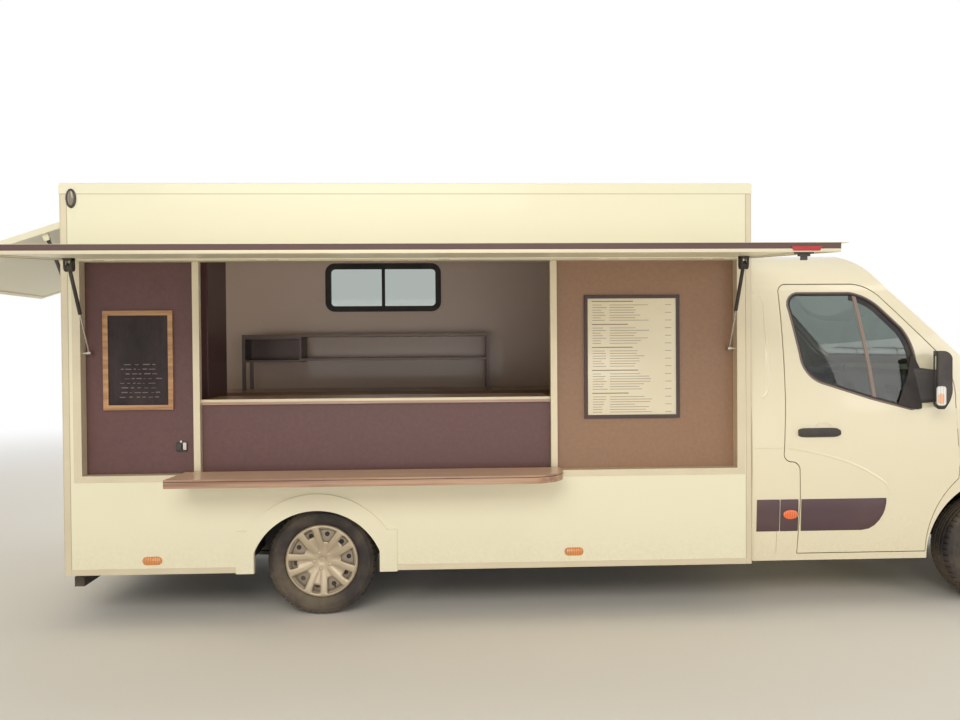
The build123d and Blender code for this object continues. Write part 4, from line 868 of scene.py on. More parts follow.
def cover_form(place):
    form, columns = Form(place), len(cover_columns(100)) * 5
    for r in RINGS:
        for fifth in range(5):
            for angle, part, share in cover_columns(r):
                turn = math.radians(WINDOW_TURN + FIFTH * fifth + angle)
                height = cover_height(r, part, share)
                form.points.append(at(*place(r * math.cos(turn), r * math.sin(turn), height)))
    parts = [part for angle, part, share in cover_columns(100)] * 5
    for row, (inner, outer) in enumerate(zip(RINGS, RINGS[1:])):
        for k, part in enumerate(parts):
            if OPEN[part][0] <= inner and outer <= OPEN[part][1]:
                continue
            form.faces.append([row * columns + k, row * columns + (k + 1) % columns,
                               (row + 1) * columns + (k + 1) % columns, (row + 1) * columns + k])
    return form


print("cover has", len(cover_columns(100)) * 5, "columns")

# %% Rims, discs, vents, covers and bolts
VENT_CIRCLE, BOLT_CIRCLE, VALVE_CIRCLE = 166, 53, 184
# radius, distance out from the wheel's middle
RIM_SECTION = (
    (190, 62), (200, 86), (224, 88), (224, 82), (205, 79), (198, 54), (179, 30), (179, -32), (198, -58),
    (205, -79), (224, -82), (224, -88), (200, -86), (191, -60), (171, -36), (171, 30), (184, 50), (150, 56),
    (95, 52), (40, 50), (40, 60), (95, 62), (150, 66))


def on_wheel(x, reach, side):
    """A place function for one wheel: forward, up, and out from its middle."""
    return lambda ahead, up, out: (x + ahead, side * (reach + out), HUB_HEIGHT + up)


def polar(radius, degrees):
    turn = math.radians(degrees)
    return radius * math.cos(turn), radius * math.sin(turn)


cover_silver = metal_finish("cover_silver", srgb(198, 182, 156), 0.36, EVEN, 0.3, 0.10)
disc_steel = metal_finish("disc_steel", srgb(168, 154, 136), 0.45, EVEN, 0.3, 0.2)
bolt_bright = metal_finish("bolt_bright", srgb(222, 210, 188), 0.28, EVEN, 0.7, 0.08)
for corner, x, reach, side in WHEELS:
    place, body = on_wheel(x, reach, side), "wheel_" + corner
    turns = [math.tau * k / 72 for k in range(72)]
    rim = Form(place).loft([[(r * math.cos(a), r * math.sin(a), out) for r, out in RIM_SECTION]
                            for a in turns], True)
    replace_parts(rim.piece("rim_" + corner, "silver_trim", body, finish=disc_steel), body)
    cover = cover_form(place).piece("cover_" + corner, "silver_trim", body, finish=cover_silver, smooth=50)
    sheet = cover.modifiers.new("sheet", "SOLIDIFY")
    sheet.thickness, sheet.offset = 0.0035, 0.0
    # black discs stand on the steel disc as painted shade where its round vent holes are
    vents, bolts, valve = Form(place), Form(place), Form(place)
    for k in range(10):
        spot = polar(VENT_CIRCLE, WINDOW_TURN + FIFTH / 2 * k)
        vents.bar((*spot, 60), (*spot, 66.5), 15, sides=24)
        if k % 2:
            spot = polar(BOLT_CIRCLE, WINDOW_TURN + FIFTH / 2 * k)
            bolts.bar((*spot, 68), (*spot, 77), 12, 11, 18)
            bolts.bar((*spot, 77), (*spot, 81), 11, 6, 18)
    spot = polar(VALVE_CIRCLE, WINDOW_TURN - 2 * FIFTH)
    valve.bar((*spot, 40), (*spot, 84), 4.5, 3.5, 12)
    vents.piece("vents_" + corner, "frame_black", body)
    bolts.piece("bolts_" + corner, "steel", body, finish=bolt_bright)
    valve.piece("valve_" + corner, "rubber", body)
print("wheels built")

# %% [markdown]
# ## Wheel housings and arches
# Under the floor everything is black, and inside the kitchen the same solid is pale, so its colour goes by
# where a point lies. Two small things close the arches: straight feet below the round of the rear ones, and
# dark liners ahead of the front wheels, where one would otherwise see daylight through the nose.

# %% Dark wheel housings, the rear arches' feet and the front liners
ARCH_X, ARCH_Z, ARCH_RADIUS, ARCH_HALF = -12, 261, 417, 383
FOOT_LOW, FOOT_HIGH = 298, 426


def floor_finish():
    """White inside the kitchen, black under the floor and inside the wheel housings."""
    recipe = Recipe("floor_and_housings", Coat_Weight=0.1)
    grain = recipe.noise(70.0, 4.0, 0.6)
    along = recipe.maths("ABSOLUTE", recipe.axis("X") - AXLE.x)
    outward = recipe.maths("ABSOLUTE", recipe.axis("Y") - AXLE.y)
    height = recipe.axis("Z")
    housing = (1 - along.above(0.41, 0.002)) * outward.above(0.71, 0.002) * (1 - height.above(0.73, 0.002))
    under = 1 - height.above(0.428, 0.001)
    black = (housing + under).above(0.5, 0.1)
    kitchen = recipe.mix(grain, srgb(196, 190, 172), srgb(214, 208, 190))
    recipe.feed(Base_Color=recipe.mix(black, kitchen, srgb(30, 27, 27)), Roughness=grain * 0.2 + 0.45)
    recipe.bump(grain, 0.2, 0.0008)
    return recipe.material


nodes["box_floor"].data.materials[0] = floor_finish()
feet = Form()
for side in (-1, 1):
    for toward in (-1, 1):
        curve = [(ARCH_X + toward * math.sqrt(ARCH_RADIUS ** 2 - (z - ARCH_Z) ** 2), z)
                 for z in spread(FOOT_LOW, FOOT_HIGH, 12)]
        edge = ARCH_X + toward * ARCH_HALF
        feet.plate([(edge, FOOT_HIGH), (edge, FOOT_LOW), *curve[:-1]], "XZ", side * 1044, side * 1084.8)
feet.piece("arch_feet", "body_panel")
liners = Form()
for side in (-1, 1):
    liners.box((4622, 4950), (side * 536, side * 540), (235, 600))
liners.piece("arch_liners", "black_plastic")
print("arches finished")

# %% [markdown]
# ## Joints between the box's panels
# Where the roof rim and the corner profiles meet the side panels, a bead of sealant fills the joint. It is
# only two or three millimetres wide, but without it the box looks cut from one block.

# %% Sealant
ROOF_JOINT, WALL_FOOT, BEAD_HALF = 2612, 306, 1.4


def bead(middle):
    return middle - BEAD_HALF, middle + BEAD_HALF


sealant = coat_finish("sealant", srgb(166, 154, 126), 0.6, 0.25, 150.0, 0.15)
seams = Form()
for side in (-1, 1):
    skin = (1074 * side, 1075.7 * side)
    seams.box((-1525, 2685), skin, bead(ROOF_JOINT))
    for x in (-1488, 2655):
        seams.box(bead(x), skin, (WALL_FOOT, ROOF_JOINT))
for x, out, y_seam in ((-1535, -1, 1028), (2695, 1, 1035)):
    skin = (x - out, x + out * 0.7)
    seams.box(skin, (-1064, 1064), bead(ROOF_JOINT))
    for side in (-1, 1):
        seams.box(skin, bead(side * y_seam), (WALL_FOOT, ROOF_JOINT))
seams.piece("panel_sealant", "rubber", finish=sealant)
print("sealant laid")

# %% [markdown]
# ## Lamps on the box's sides
# The amber side lamps are flat ovals on a wider amber base, and the two top lamps stand upright near the rear
# corners in a black ring. A lens is a stack of ever smaller outlines, which gives it a rounded face.

# %% Side and top lamps
def dome(form, x, z, half_width, half_height, radius, levels):
    """Rounded outlines at one Y after another, each drawn in by its inset: a lens or pad facing sideways."""
    return form.loft([[(px, y, pz) for px, pz in drawn_in(
        x - half_width, x + half_width, z - half_height, z + half_height, radius, inset)]
        for y, inset in levels])


bases, amber, top_rings, top_lenses = Form(), Form(), Form(), Form()
for side in (-1, 1):
    for x, z in ((-1006, 387), (1571, 400)):
        dome(bases, x, z, 59, 25, 24.5, ((side * 1074, 0), (side * 1079, 0), (side * 1081, 2)))
        dome(amber, x, z, 53, 19, 18.5, ((side * 1080, 0), (side * 1085, 0.5), (side * 1087, 4)))
    for form, half_width, half_height, levels in (
            (top_rings, 31, 58, ((1074, 0), (1082, 0), (1085, 4))),
            (top_lenses, 19, 44, ((1084, 0), (1086, 1), (1087, 6)))):
        form.loft([[(px, side * y, pz)
                    for px, pz in oval(-1460, 2585, half_width - inset, half_height - inset)]
                   for y, inset in levels])
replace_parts(amber.piece("side_lamp_lenses", "amber_lens"), "marker_lamps")
bases.piece("side_lamp_bases", "amber_lens")
top_rings.piece("top_lamp_rings", "black_plastic")
smoked_lens = lens_finish("smoked_lens", srgb(142, 128, 114), 0.03)
top_lenses.piece("top_lamp_lenses", "clear_lens", finish=smoked_lens)
print("lamps fitted")

# %% [markdown]
# ## The open flap
# The flap's own plane droops by four and a half degrees. A place function turns a point given as X, the
# distance out along the flap and the distance below it, into a point of the drawing, so everything on the
# flap is written as if it lay flat. Its rim is an aluminium profile with a dark band between its lips. Two
# red pads with black handles sit at its edge, and the struts' upper eyes turn in sockets near its hinge.

# %% The flap's plane and its rim
def hinged_plane(droop):
    """A place function for a drooping leaf: how far out and how high a point lies from the hinge."""
    return lambda along, below: (math.cos(droop) * along - math.sin(droop) * below,
                                 -math.sin(droop) * along - math.cos(droop) * below)


FLAP_HINGE = (-1083, 2213)
FLAP_X, FLAP_OUT = (-1470, 2652), 1280
STRUT_X, STRUT_PIN = (-1383, 2565), (215, 45)
flap_plane = hinged_plane(math.radians(4.5))


def on_flap(x, along, below):
    out, up = flap_plane(along, below)
    return x, FLAP_HINGE[0] - out, FLAP_HINGE[1] + up


rim, seal = Form(on_flap), Form(on_flap)
for form, proud, low, high in ((rim, 3, -12, 4), (rim, 3, -42, -40), (seal, 2, -40, -12)):
    form.box(FLAP_X, (FLAP_OUT, FLAP_OUT + proud), (low, high))
    for x, out in zip(FLAP_X, (-1, 1)):
        form.box((x, x + out * proud), (10, FLAP_OUT), (low, high))
for x, out in zip(FLAP_X, (-1, 1)):
    rim.box((x, x + out * 38), (20, FLAP_OUT + 2), (-41.5, -39))
rim.piece("flap_rim", "edge_metal", "side_flap", 0.6)
# a dark brown band between the rim's aluminium lips
rim_dark_band = coat_finish("rim_dark_band", srgb(88, 64, 62), 0.5, 0.1)
seal.piece("flap_rim_dark_band", "rubber", "side_flap", finish=rim_dark_band)
print("flap rim is", round(FLAP_X[1] - FLAP_X[0]), "mm long")

# %% Pads, handles, strut sockets
pads, handles = Form(on_flap), Form(on_flap)
for near in (-1380, 2412):
    outline = [(near, -24), (near + 150, -24), (near + 138, -2), (near + 12, -2)]
    pads.loft([[(x, along, below) for x, below in outline] for along in (FLAP_OUT + 1, FLAP_OUT + 8)])
    for inset, low, high in ((30, -4, 12), (46, 12, 24), (58, 24, 42)):
        handles.box((near + inset, near + 150 - inset), (FLAP_OUT - 44 + inset / 4, FLAP_OUT - 8 - inset / 4),
                    (low, high))
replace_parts(pads.piece("flap_pads", "red_black", "side_flap", 2.5), "flap_latches")
handles.piece("flap_latch_handles", "black_plastic", "side_flap", 2.0)
sockets, boots = Form(on_flap), Form(on_flap)
(along, below), CHEEK = STRUT_PIN, 27
cheek = [(along + CHEEK * math.cos(a), below + CHEEK * math.sin(a)) for a in spread(0, math.pi, 12)]
cheek = [(along + CHEEK, -6), *cheek, (along - CHEEK, -6)]
for x in STRUT_X:
    sockets.box((x - 24, x + 24), (185, 245), (-8, 8))
    for near, far in ((x - 24, x - 13.5), (x + 13.5, x + 24)):
        sockets.loft([[(level, *point) for point in cheek] for level in (near, far)])
    boots.bar((x - 13, *STRUT_PIN), (x + 13, *STRUT_PIN), 22, sides=24)
sockets.piece("flap_strut_sockets", "black_plastic", "side_flap", 1.5)
boots.piece("flap_strut_boots", "black_plastic", "flap_cylinders", 1.5)
print("flap dressed")

# %% [markdown]
# ## Small metal things at the opening
# A slim aluminium nosing covers the counter's front edge. The service door has a lock in a small black case,
# with a bright keep beside it and a key cylinder above. A dark line along the shelf's front and round its
# corner is painted shade, for a groove in its edge.

# %% Counter nosing, lock and the shelf's painted groove shade
Form().box((-718, 1437), (-1022.5, -1019), (1344, 1361)).piece("counter_nosing", "edge_metal", bevel=0.8)
lock, keep = Form(), Form()
dome(lock, -846, 1070, 34, 30, 6, ((-993.5, 0), (-1001, 0), (-1003, 2)))
dome(keep, -824, 1076, 12, 24, 4, ((-1003, 0), (-1010, 0.5), (-1012, 3)))
keep.bar((-846, -1000, 1104), (-846, -1007, 1104), 9, 7)
lock.box((-876, -842), (-1016, -1003), (1052, 1090))
lock.piece("lock_case", "black_plastic", "service_door", 1.0)
keep.piece("lock_keep", "steel", "service_door")
SHELF_CORNER, CORNER_FROM = 220, 1270
GROOVE_SHADE_LOW, GROOVE_SHADE_HIGH = 911, 915.5
shelf_front = (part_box("serving_shelf")[0].y - AXLE.y) * 1000
edge = [((x, shelf_front), (0, -1)) for x in spread(-829, CORNER_FROM, 12)]
for turn in spread(-85, 0, 17):
    way = polar(1, turn)
    edge.append(((CORNER_FROM + SHELF_CORNER * way[0], shelf_front + SHELF_CORNER * (1 + way[1])), way))
section = ((-1, GROOVE_SHADE_LOW), (0.7, GROOVE_SHADE_LOW), (0.7, GROOVE_SHADE_HIGH), (-1, GROOVE_SHADE_HIGH))
# a dark strip that paints the shade in a groove along the shelf's edge
groove_shade_line = coat_finish("groove_shade_line", srgb(84, 58, 48), 0.6, 0.1)
Form().loft([[(x + a * out, y + b * out, z) for out, z in section] for (x, y), (a, b) in edge]) \
    .piece("shelf_groove_shade", "black_plastic", "serving_shelf", finish=groove_shade_line)
print("nosing, lock and shelf edge fitted")

# %% [markdown]
# ## The cab's flanks
# Each flank has a moulded rub strip in three parts, a repeater lamp in the middle one, a door handle with a
# finger dish above it, and soft creases pressed into the steel. All of them follow the skin: rays find the
# points, and each row of points across gets its own lift, so that a piece can be rounded or stepped.

# %% The rub strip's outline
BANDED = (0.0, 0.05, 0.35, 0.65, 0.95, 1.0)
BAND_LIFTS = (2.0, 6.5, 7.0, 7.0, 6.5, 2.0)
STRIP_LOW, STRIP_HIGH = 491, 695
SWEEP_FROM, SWEEP_LENGTH = 3420, 152


def strip_foot(x):
    """The rub strip's lower edge, which sweeps up towards its front end."""
    share = max(0.0, (x - SWEEP_FROM) / SWEEP_LENGTH)
    return STRIP_LOW + 190 * (1 - math.sqrt(max(0.0, 1 - share * share)))


strip_black = coat_finish("rub_strip", srgb(84, 62, 68), 0.42, 0.12, 420.0, 0.3)
print("strip end is", round(STRIP_HIGH - strip_foot(SWEEP_FROM + 151)), "mm high")

# %% Rub strips and repeaters
REPEATER, REPEATER_HALF = (2955, 600), (48, 29)
for name, side in BOTH_SIDES:
    flank = beside(side)
    for part, ends, body in (("rear", (2741, 2885), "truck"), ("middle", (2892, 3005), "truck"),
                             ("door", (3026, SWEEP_FROM), "cab_door_" + name)):
        xs = spread(*ends, max(3, round((ends[1] - ends[0]) / 45)))
        if part == "door":
            xs += [SWEEP_FROM + 151 * share for share in (0.3, 0.55, 0.75, 0.88, 0.95, 1.0)]
        rows = field(xs, strip_foot, lambda x: STRIP_HIGH, BANDED)
        hugging(rows, BAND_LIFTS, flank).piece(
            f"rub_strip_{part}_{name}", "black_plastic", body, finish=strip_black)
    # the repeater's lens glows at 0.25: painted glow
    lamp_amber = lens_finish("repeater_" + name, srgb(232, 112, 58), 0.25)
    for label, grow, lift, slot, finish in (("base", 5, 9.0, "black_plastic", strip_black),
                                            ("lens", 0, 14.0, "amber_lens", lamp_amber)):
        half_width, half_height = REPEATER_HALF[0] + grow, REPEATER_HALF[1] + grow
        rows = []
        for k in range(1, 14):
            x = REPEATER[0] - half_width * math.cos(math.pi * k / 14)
            half = half_height * math.sqrt(max(0.0, 1 - ((x - REPEATER[0]) / half_width) ** 2))
            rows.append([(x, REPEATER[1] - half + share * 2 * half) for share in (0.0, 0.15, 0.5, 0.85, 1.0)])
        hugging(rows, (lift - 3, lift - 0.6, lift, lift - 0.6, lift - 3), flank, sunk=-3.0) \
            .piece(f"repeater_{label}_{name}", slot, finish=finish)
print("strips and repeaters on both flanks")

# %% Door handles, finger dishes and creases
CREASE_OFFSETS = (-10, -5, 0, 5, 10)
CREASE_LIFTS = (0.1, 1.4, 3.6, 1.4, 0.1)
BELT_LINE = ((2934, 1022), (3030, 1006), (3146, 980), (3240, 954), (3339, 921), (3440, 874), (3533, 816),
             (3572, 784), (3590, 746), (3592, 712))
PILLAR_LINE = ((2764, 2001), (2790, 1994), (2808, 1981), (2816, 1950), (2820, 1896), (2821, 1660),
               (2818, 1419), (2814, 1385), (2803, 1356), (2780, 1335))
SIDE_LINE = ((2729, 1026), (2905, 1024))
HANDLE, HANDLE_HALF = (3136, 1116), (140, 29)
FINGER_DISH, DISH_HALF, DISH_HIGH = (3168, 1146), 54, 38


def handle_half(x):
    """Half the handle's height at an X: nearly even, and quickly rounded at its ends."""
    return HANDLE_HALF[1] * math.sqrt(1 - ((x - HANDLE[0]) / HANDLE_HALF[0]) ** 8)


def dish_top(x):
    """The finger dish's upper edge, which is half an oval."""
    return FINGER_DISH[1] + DISH_HIGH * math.sqrt(1 - ((x - FINGER_DISH[0]) / DISH_HALF) ** 2)


for name, side in BOTH_SIDES:
    flank, door = beside(side), "cab_door_" + name
    rows = field(spread(3004, 3268, 22), lambda x: HANDLE[1] - handle_half(x),
                 lambda x: HANDLE[1] + handle_half(x), (0.0, 0.12, 0.5, 0.88, 1.0))
    hugging(rows, (6, 22, 27, 22, 6), flank).piece("door_handle_" + name, "black_plastic", door)
    xs = [FINGER_DISH[0] - DISH_HALF * math.cos(math.pi * k / 16) for k in range(1, 16)]
    rows = field(xs, lambda x: FINGER_DISH[1], dish_top, (0.0, 0.3, 0.7, 0.92, 1.0))
    hugging(rows, (0.6, 0.5, 1.0, 3.2, 0.4), flank).piece("finger_dish_" + name, "cab_paint", door)
    for label, line, body in (("belt_crease", BELT_LINE, door), ("side_crease", SIDE_LINE, "truck"),
                              ("pillar_crease", PILLAR_LINE, "truck")):
        fine = trace(*zip(line, line[1:]), step=22.0) + [line[-1]]
        hugging(across(fine, CREASE_OFFSETS), CREASE_LIFTS, flank, 1.0) \
            .piece(f"{label}_{name}", "cab_paint", body)
    seam_line = trace(((2872, 350), (2872, 480))) + [(2872, 485)]
    hugging(across(seam_line, (-1.2, 1.2)), (0.4, 0.4), flank, 1.0) \
        .piece("side_seam_" + name, "rubber", finish=sealant)
print("handles and creases on both flanks")

# %% [markdown]
# ## Window seals
# The side windows sit in a black rubber seal with a paler lip, and a narrow post parts the quarter pane from
# the main one. The seal is a strip round the window's outline: low outside on the skin, higher inside where
# it turns down to the glass. A black border runs down the front of the pane.

# %% Seals and quarter posts
SIDE_WINDOW = (
    ((3035, 1607), (2985, 1895)), ((2985, 1895), (3000, 1980), (3072, 2003)), ((3072, 2003), (3390, 2003)),
    ((3390, 2003), (3500, 1965), (3590, 1892)), ((3590, 1892), (3702, 1775)),
    ((3702, 1775), (3760, 1660), (3777, 1540)), ((3777, 1540), (3776, 1285)),
    ((3776, 1285), (3758, 1262), (3723, 1262)), ((3723, 1262), (3491, 1324)), ((3491, 1324), (3166, 1429)),
    ((3166, 1429), (3080, 1490), (3035, 1607)),
)
lip_grey = coat_finish("seal_lip", srgb(124, 108, 102), 0.4, 0.1, 120.0, 0.1)
post_grey = coat_finish("quarter_post_grey", srgb(140, 122, 112), 0.35, 0.1, 120.0, 0.1)
for name, side in BOTH_SIDES:
    flank, door = beside(side), "cab_door_" + name
    line = trace(*SIDE_WINDOW, step=28.0)
    hugging(across(line, (8, 6, -2, -5), True), (0.3, 3.2, 9.0, 5.0), flank, 1.5, True) \
        .piece("window_lip_" + name, "rubber", door, finish=lip_grey)
    hugging(across(line, (-4, -7, -14, -18), True), (5.5, 7.0, 7.0, 0.5), flank, 1.5, True) \
        .piece("window_seal_" + name, "rubber", door)
    front = trace(*SIDE_WINDOW[3:6], ((3777, 1540), (3776, 1300)), step=28.0)
    hugging(across(front, (-16, -30, -48)), (0.8, 0.8, 0.5), flank, 1.0) \
        .piece("pane_border_" + name, "rubber", door)
    post = trace(((3421, 1985), (3503, 1330))) + [(3503, 1330)]
    hugging(across(post, (-13, -9, 9, 13)), (0.5, 5.0, 5.0, 0.5), flank, 1.0) \
        .piece("quarter_post_" + name, "edge_metal", door, finish=post_grey)
print("seal line has", len(line), "places")

# %% [markdown]
# ## Mirrors
# The mirror's case is one of the solids and rides on the door. What it lacks is the silvered glass in its
# pocket and the small lamp low on its outer edge. Both are written in the head's own plane: out from the
# door, forward, up.

# %% Mirror glass and mirror lamps
TOE = math.radians(25)
HEAD = (3867, -1150, 1270)


def on_head(side):
    """A place function for the right (-1) or left (1) mirror: out from the truck, forward, up."""
    def place(out, ahead, up):
        x = HEAD[0] - math.sin(TOE) * out + math.cos(TOE) * ahead
        y = HEAD[1] - math.cos(TOE) * out - math.sin(TOE) * ahead
        return (x, y * -side, HEAD[2] + up)
    return place


silver_glass = metal_finish("mirror_silver", srgb(226, 230, 232), 0.02, EVEN, 1.0, 0.02)
for name, side in BOTH_SIDES:
    head, door = on_head(side), "cab_door_" + name
    pane = [[(out, forth, up) for out, up in rounded(-69, 75, 32, 325, 16)] for forth in (-39, -36.5)]
    Form(head).loft(pane).piece("mirror_pane_" + name, "steel", door, 0.6, silver_glass)
    lens = [[(out, forth, up) for forth, up in drawn_in(-43, 12, 22, 142, 18, inset)]
            for out, inset in ((90, 0), (97, 0.5), (100, 4))]
    Form(head).loft(lens).piece("mirror_lamp_" + name, "clear_lens", door)
    tongue = [[(out, forth, up) for forth, up in rounded(-34 + inset, 0 - inset, 34 + inset, 96 - inset, 12)]
              for out, inset in ((99, 0), (101, 1))]
    Form(head).loft(tongue).piece("mirror_lamp_amber_" + name, "amber_lens", door)
print("mirrors finished")

# %% [markdown]
# ## Windscreen, scuttle and wipers
# A black band runs round the windscreen, a plastic scuttle fills the dip before it, and two wipers rest along
# its lower edge. The wipers follow the glass a little above it.

# %% Windscreen band, scuttle, wipers
screen_line = trace(
    ((-845, 1585), (845, 1585)), ((845, 1585), (885, 1603), (898, 1640)), ((898, 1640), (783, 2108)),
    ((783, 2108), (762, 2150), (715, 2165)), ((715, 2165), (-715, 2165)),
    ((-715, 2165), (-762, 2150), (-783, 2108)), ((-783, 2108), (-898, 1640)),
    ((-898, 1640), (-885, 1603), (-845, 1585)), step=45.0)
hugging(across(screen_line, (-16, -12, 4, 14), True), (0.3, 2.5, 3.0, 7.0), ahead, 1.5, True) \
    .piece("windscreen_band", "rubber")


def above(x, y):
    """Finds the cab's top from an X and a Y."""
    return struck((x, y, 2700), (0, 0, -1))


rows = [[(x, y) for x in (4112, 4130, 4155, 4180, 4200)] for y in spread(-840, 840, 40)]
hugging(rows, (1.0, 5.0, 5.0, 5.0, 1.5), above).piece("scuttle", "black_plastic")
arms, blades = Form(), Form()
for pivot, near, far in ((430, 640, 80), (-170, 20, -560)):
    foot, facing = ahead(pivot, 1566)
    arms.bar(foot - facing * 4, foot + facing * 22, 14, 11)
    middle, middle_facing = ahead((near + far) / 2, 1640)
    arms.tube([tuple(foot + facing * 18), tuple(foot.lerp(middle, 0.5) + facing * 34),
               tuple(middle + middle_facing * 20)], 6, 8)
    path = [ahead(y, 1632 + 12 * (y - far) / (near - far)) for y in spread(near, far, 12)]
    blades.tube([tuple(spot + way * 10) for spot, way in path], 5.5, 8)
    blades.tube([tuple(spot + way * 4.5) for spot, way in path], 2.6, 6)
arms.piece("wiper_arms", "black_plastic")
blades.piece("wiper_blades", "rubber")
print("windscreen line has", len(screen_line), "places")

# %% [markdown]
# ## The nose
# Behind each headlamp's clear cover lie a dark housing and two bowls with a bulb each. The cover is a patch
# of skin that stands three millimetres proud, and the housing is the same patch set back. A black lip runs
# along the bumper's foot. A blank plate sits above it, and another at the rear.

# %% Headlamps
LAMP_LOW = ((560, 722), (900, 782), (985, 955))
LAMP_HIGH = ((560, 858), (700, 928), (940, 1006), (985, 962))
LAMP_COLUMNS = (565, 600, 640, 680, 720, 760, 800, 840, 880, 915, 945, 965, 978)
# radius as a share of the bowl's, and height over its seat
BOWL_PROFILE = ((0.15, 2), (0.55, 5), (0.85, 16), (1.0, 30), (1.06, 30), (0.92, 12), (0.6, 0), (0.15, -3))
housing_dark = coat_finish("lamp_housing", srgb(58, 56, 58), 0.3, 0.0, 200.0, 0.1)
bowl_silver = metal_finish("lamp_bowl", srgb(228, 228, 226), 0.08, EVEN, 1.0, 0.05)
covers, housings, bowls, bulbs = Form(), Form(), Form(), Form()
for side in (-1, 1):
    for form, lift, floor_lift, inset in ((covers, 3.0, 0.5, 0), (housings, -30.0, -33.0, 5)):
        rings = []
        for y in LAMP_COLUMNS:
            low, high = between(LAMP_LOW, y) + inset, between(LAMP_HIGH, y) - inset
            found = [ahead(side * y, z) for z in spread(low, high, 6)]
            ring = [spot + way * lift for spot, way in found]
            ring += [spot + way * floor_lift for spot, way in found[::-1]]
            rings.append([tuple(point) for point in ring])
        form.loft(rings)
    for y, z, radius in ((650, 812, 52), (800, 868, 58)):
        spot, way = ahead(side * y, z)
        face = Vector((1, 0, 0)).lerp(way, 0.25).normalized()
        seat = spot - face * 42
        turn = face.to_track_quat("Z", "Y")
        rings = [[tuple(seat + turn @ Vector((radius * r * math.cos(a), radius * r * math.sin(a), h)))
                  for r, h in BOWL_PROFILE] for a in (math.tau * k / 32 for k in range(32))]
        bowls.loft(rings, closed=True)
        bulbs.bar(seat, seat + face * 14, radius * 0.2, radius * 0.12, 16)
cover_glass = glass_finish("lamp_cover", srgb(232, 236, 236))
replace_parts(covers.piece("headlamp_covers", "clear_lens", finish=cover_glass), "headlamps")
housings.piece("headlamp_housings", "black_plastic", finish=housing_dark)
bowls.piece("headlamp_bowls", "clear_lens", finish=bowl_silver)
# the bulbs glow at 0.3: painted glow, the lamps are off
bulbs.piece("headlamp_bulbs", "clear_lens", finish=lens_finish("bulb", srgb(236, 232, 214), 0.3))
print("headlamps built")

# %% Bumper lip and blank plates
PLATE_HALF, PLATE_HIGH = 260, 110
nose = ahead(0, 575)[0].x
holders, plates = Form(), Form()
for x, out, low in ((nose + 6, 1, 530), (-1535, -1, 306)):
    holders.box((x - 14 * out, x + 3 * out), (-PLATE_HALF - 8, PLATE_HALF + 8),
                (low - 5, low + PLATE_HIGH + 5))
    plates.box((x + 3 * out, x + 5 * out), (-PLATE_HALF, PLATE_HALF), (low, low + PLATE_HIGH))
holders.piece("plate_holders", "black_plastic", bevel=2.0)
plates.piece("blank_plates", "edge_metal", bevel=0.6, finish=white_finish(
    "plate_white", srgb(236, 234, 226), 0.3, 0.2, 0.3, 0.2))
rows = [[(y, z) for z in (282, 290, 330, 366, 374)] for y in spread(-760, 760, 38)]
hugging(rows, (2.0, 13.0, 13.0, 9.0, 2.0), ahead, 6.0).piece("bumper_lip", "black_plastic")
print("nose at", round(nose), "mm")

# %% [markdown]
# ## The rear
# Each tail lamp is a black base with an amber, a red and a clear lens side by side. The hatch gets a pair of
# latches, written in its own drooping plane as on the flap, and the half door a grip.

# %% Tail lamps
tail_bases = Form()
lens_forms = {"amber_lens": Form(), "red_lens": Form(), "clear_lens": Form()}
for side in (-1, 1):
    middle = side * 810
    tail_bases.plate(rounded(middle - 150, middle + 150, 320, 404, 18), "YZ", -1545, -1535.5)
    for slot, near, far in (("clear_lens", 666, 732), ("red_lens", 736, 872), ("amber_lens", 876, 954)):
        left, right = sorted((side * near, side * far))
        lens_forms[slot].loft([[(x, y, z) for y, z in drawn_in(left, right, 326, 398, 10, inset)]
                               for x, inset in ((-1545, 0), (-1555, 0.5), (-1558.5, 4))])
tail_bases.piece("tail_lamp_bases", "black_plastic", bevel=1.0)
for slot, form in lens_forms.items():
    made = form.piece("tail_" + slot, slot)
    if slot == "red_lens":
        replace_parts(made, "rear_lamps")
print("tail lamps have", len(lens_forms), "kinds of lens")

# %% Hatch latches and the half door's grip
HATCH_HINGE = (-1541, 2438)
hatch_plane = hinged_plane(math.radians(18))


def on_hatch(y, along, below):
    out, up = hatch_plane(along, below)
    return HATCH_HINGE[0] - out, y, HATCH_HINGE[1] + up


latches = Form(on_hatch)
for y in (-560, 560):
    latches.box((y - 60, y + 60), (1040, 1076), (-44, -38))
    latches.box((y - 16, y + 16), (1046, 1070), (-56, -44))
latches.piece("hatch_latches", "black_plastic", "rear_hatch", 1.5)
grip, GRIP_HEIGHT = Form(), 1280
for y in (-60, 60):
    grip.bar((-1579, y, GRIP_HEIGHT), (-1607, y, GRIP_HEIGHT), 8, sides=14)
grip.tube([(-1605, y, GRIP_HEIGHT) for y in (-80, -60, 0, 60, 80)], 9, 12)
grip.piece("half_door_grip", "steel", "rear_half_door")
print("rear finished")

# %% [markdown]
# ## Inside the cab
# Through the side glass one sees the seats and the steering wheel. The seats are soft, so rounded forms
# replace the plain solids: cushion, back and head rest. Hard bases carry the cushions, and rods the head
# rests.


def cushion(name, rings):
    """A soft pad from its cross sections, rounded by subdivision."""
    made = Form().loft(rings).piece(name, "seat_cloth", smooth=80)
    soft = made.modifiers.new("soft", "SUBSURF")
    soft.levels = soft.render_levels = 2
    return made


def pad_rings(profile, middle, width, edge):
    """A side profile swept across the seat, drawn in near its two sides."""
    centre = Vector(tuple(sum(axis) / len(profile) for axis in zip(*profile)))
    rings = []
    for y, share in ((-0.5, 0.80), (-0.47, 0.97), (-0.30, 1.0), (0.0, 0.985), (0.30, 1.0), (0.47, 0.97),
                     (0.5, 0.80)):
        rings.append([(centre.x + (x - centre.x) * share, middle + y * (width - edge),
                       centre.y + (z - centre.y) * share) for x, z in profile])
    return rings


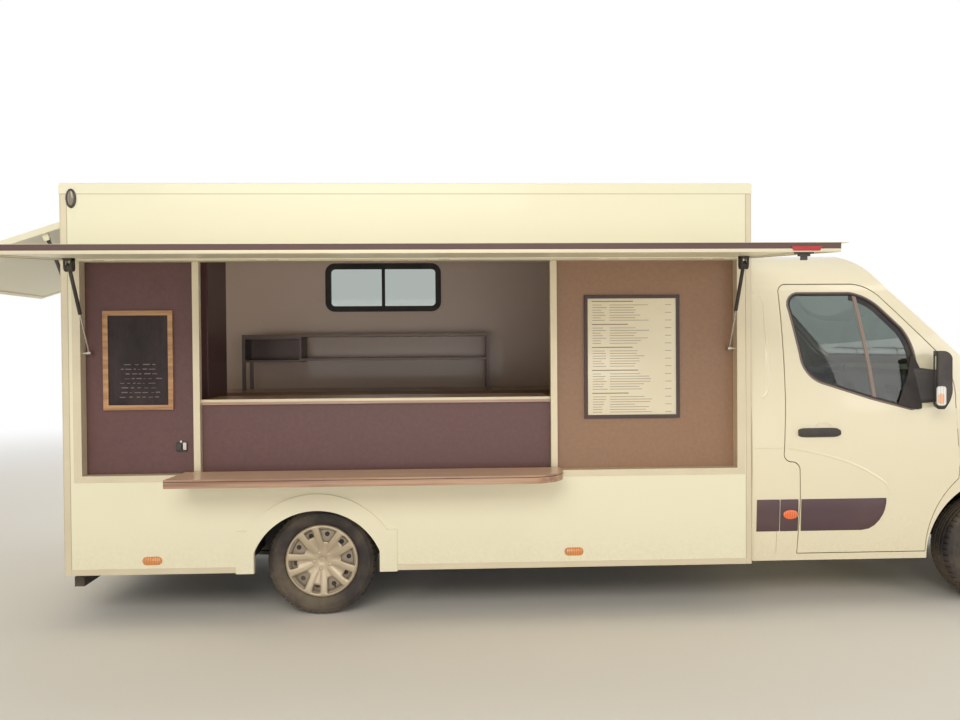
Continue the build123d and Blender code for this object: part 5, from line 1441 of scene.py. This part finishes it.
SEAT_PAD = ((2985, 985), (3120, 1010), (3400, 1030), (3500, 1022), (3522, 985), (3500, 915), (3420, 892),
            (3100, 888), (2990, 900))
BACK_PAD = ((3010, 1000), (3060, 1040), (3010, 1250), (2945, 1560), (2905, 1610), (2855, 1600), (2850, 1500),
            (2900, 1240), (2950, 1010))
HEAD_PAD = ((2912, 1640), (2900, 1760), (2880, 1800), (2835, 1800), (2815, 1760), (2830, 1640), (2860, 1625))
supports = Form()
for label, middle, width in (("driver", 470, 510), ("mate_inner", -140, 440), ("mate_outer", -590, 440)):
    made = cushion("seat_pad_" + label, pad_rings(SEAT_PAD, middle, width, 4))
    if label == "driver":
        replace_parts(made, "seats")
    cushion("seat_back_" + label, pad_rings(BACK_PAD, middle, width, 14))
    cushion("head_rest_" + label, pad_rings(HEAD_PAD, middle, 270, 4))
    for y in (-60, 60):
        supports.bar((2870, middle + y, 1600), (2868, middle + y, 1650), 6, sides=12)
for near, far in ((250, 690), (-790, 70)):
    supports.box((3000, 3420), (near, far), (561, 880))
supports.piece("seat_supports", "frame_black", bevel=6.0)
print("seats padded")

# %% Dashboard and steering wheel
hood, vents = Form(), Form()
hood.plate([(3925, 1462), (3760, 1440), (3752, 1456), (3780, 1492), (3925, 1512)], "XZ", 270, 670)
for y in (-760, -160, 130, 780):
    vents.box((3738, 3760), (y - 60, y + 60), (1345, 1400))
hood.piece("instrument_hood", "black_plastic", bevel=8.0)
vents.piece("dash_vents", "black_plastic", bevel=4.0)
RAKE = math.radians(45)
WHEEL_MIDDLE = (3674, 470, 1232)


def on_steering(side_way, up, out):
    """A place on the steering wheel's plane: sideways, up the wheel, out along its shaft."""
    shaft, rise = Vector((-math.cos(RAKE), 0, math.sin(RAKE))), Vector((math.sin(RAKE), 0, math.cos(RAKE)))
    return tuple(Vector(WHEEL_MIDDLE) + Vector((0, side_way, 0)) + shaft * (60 + out) + rise * up)


boss = [[(r * 0.9 * side_way, r * up - 4, out) for side_way, up in rounded(-74, 74, -58, 50, 24)]
        for out, r in ((10, 1.0), (22, 0.96), (27, 0.8))]
Form(on_steering).loft(boss).piece("steering_boss", "black_plastic", "steering_wheel")
print("cab fitted out")
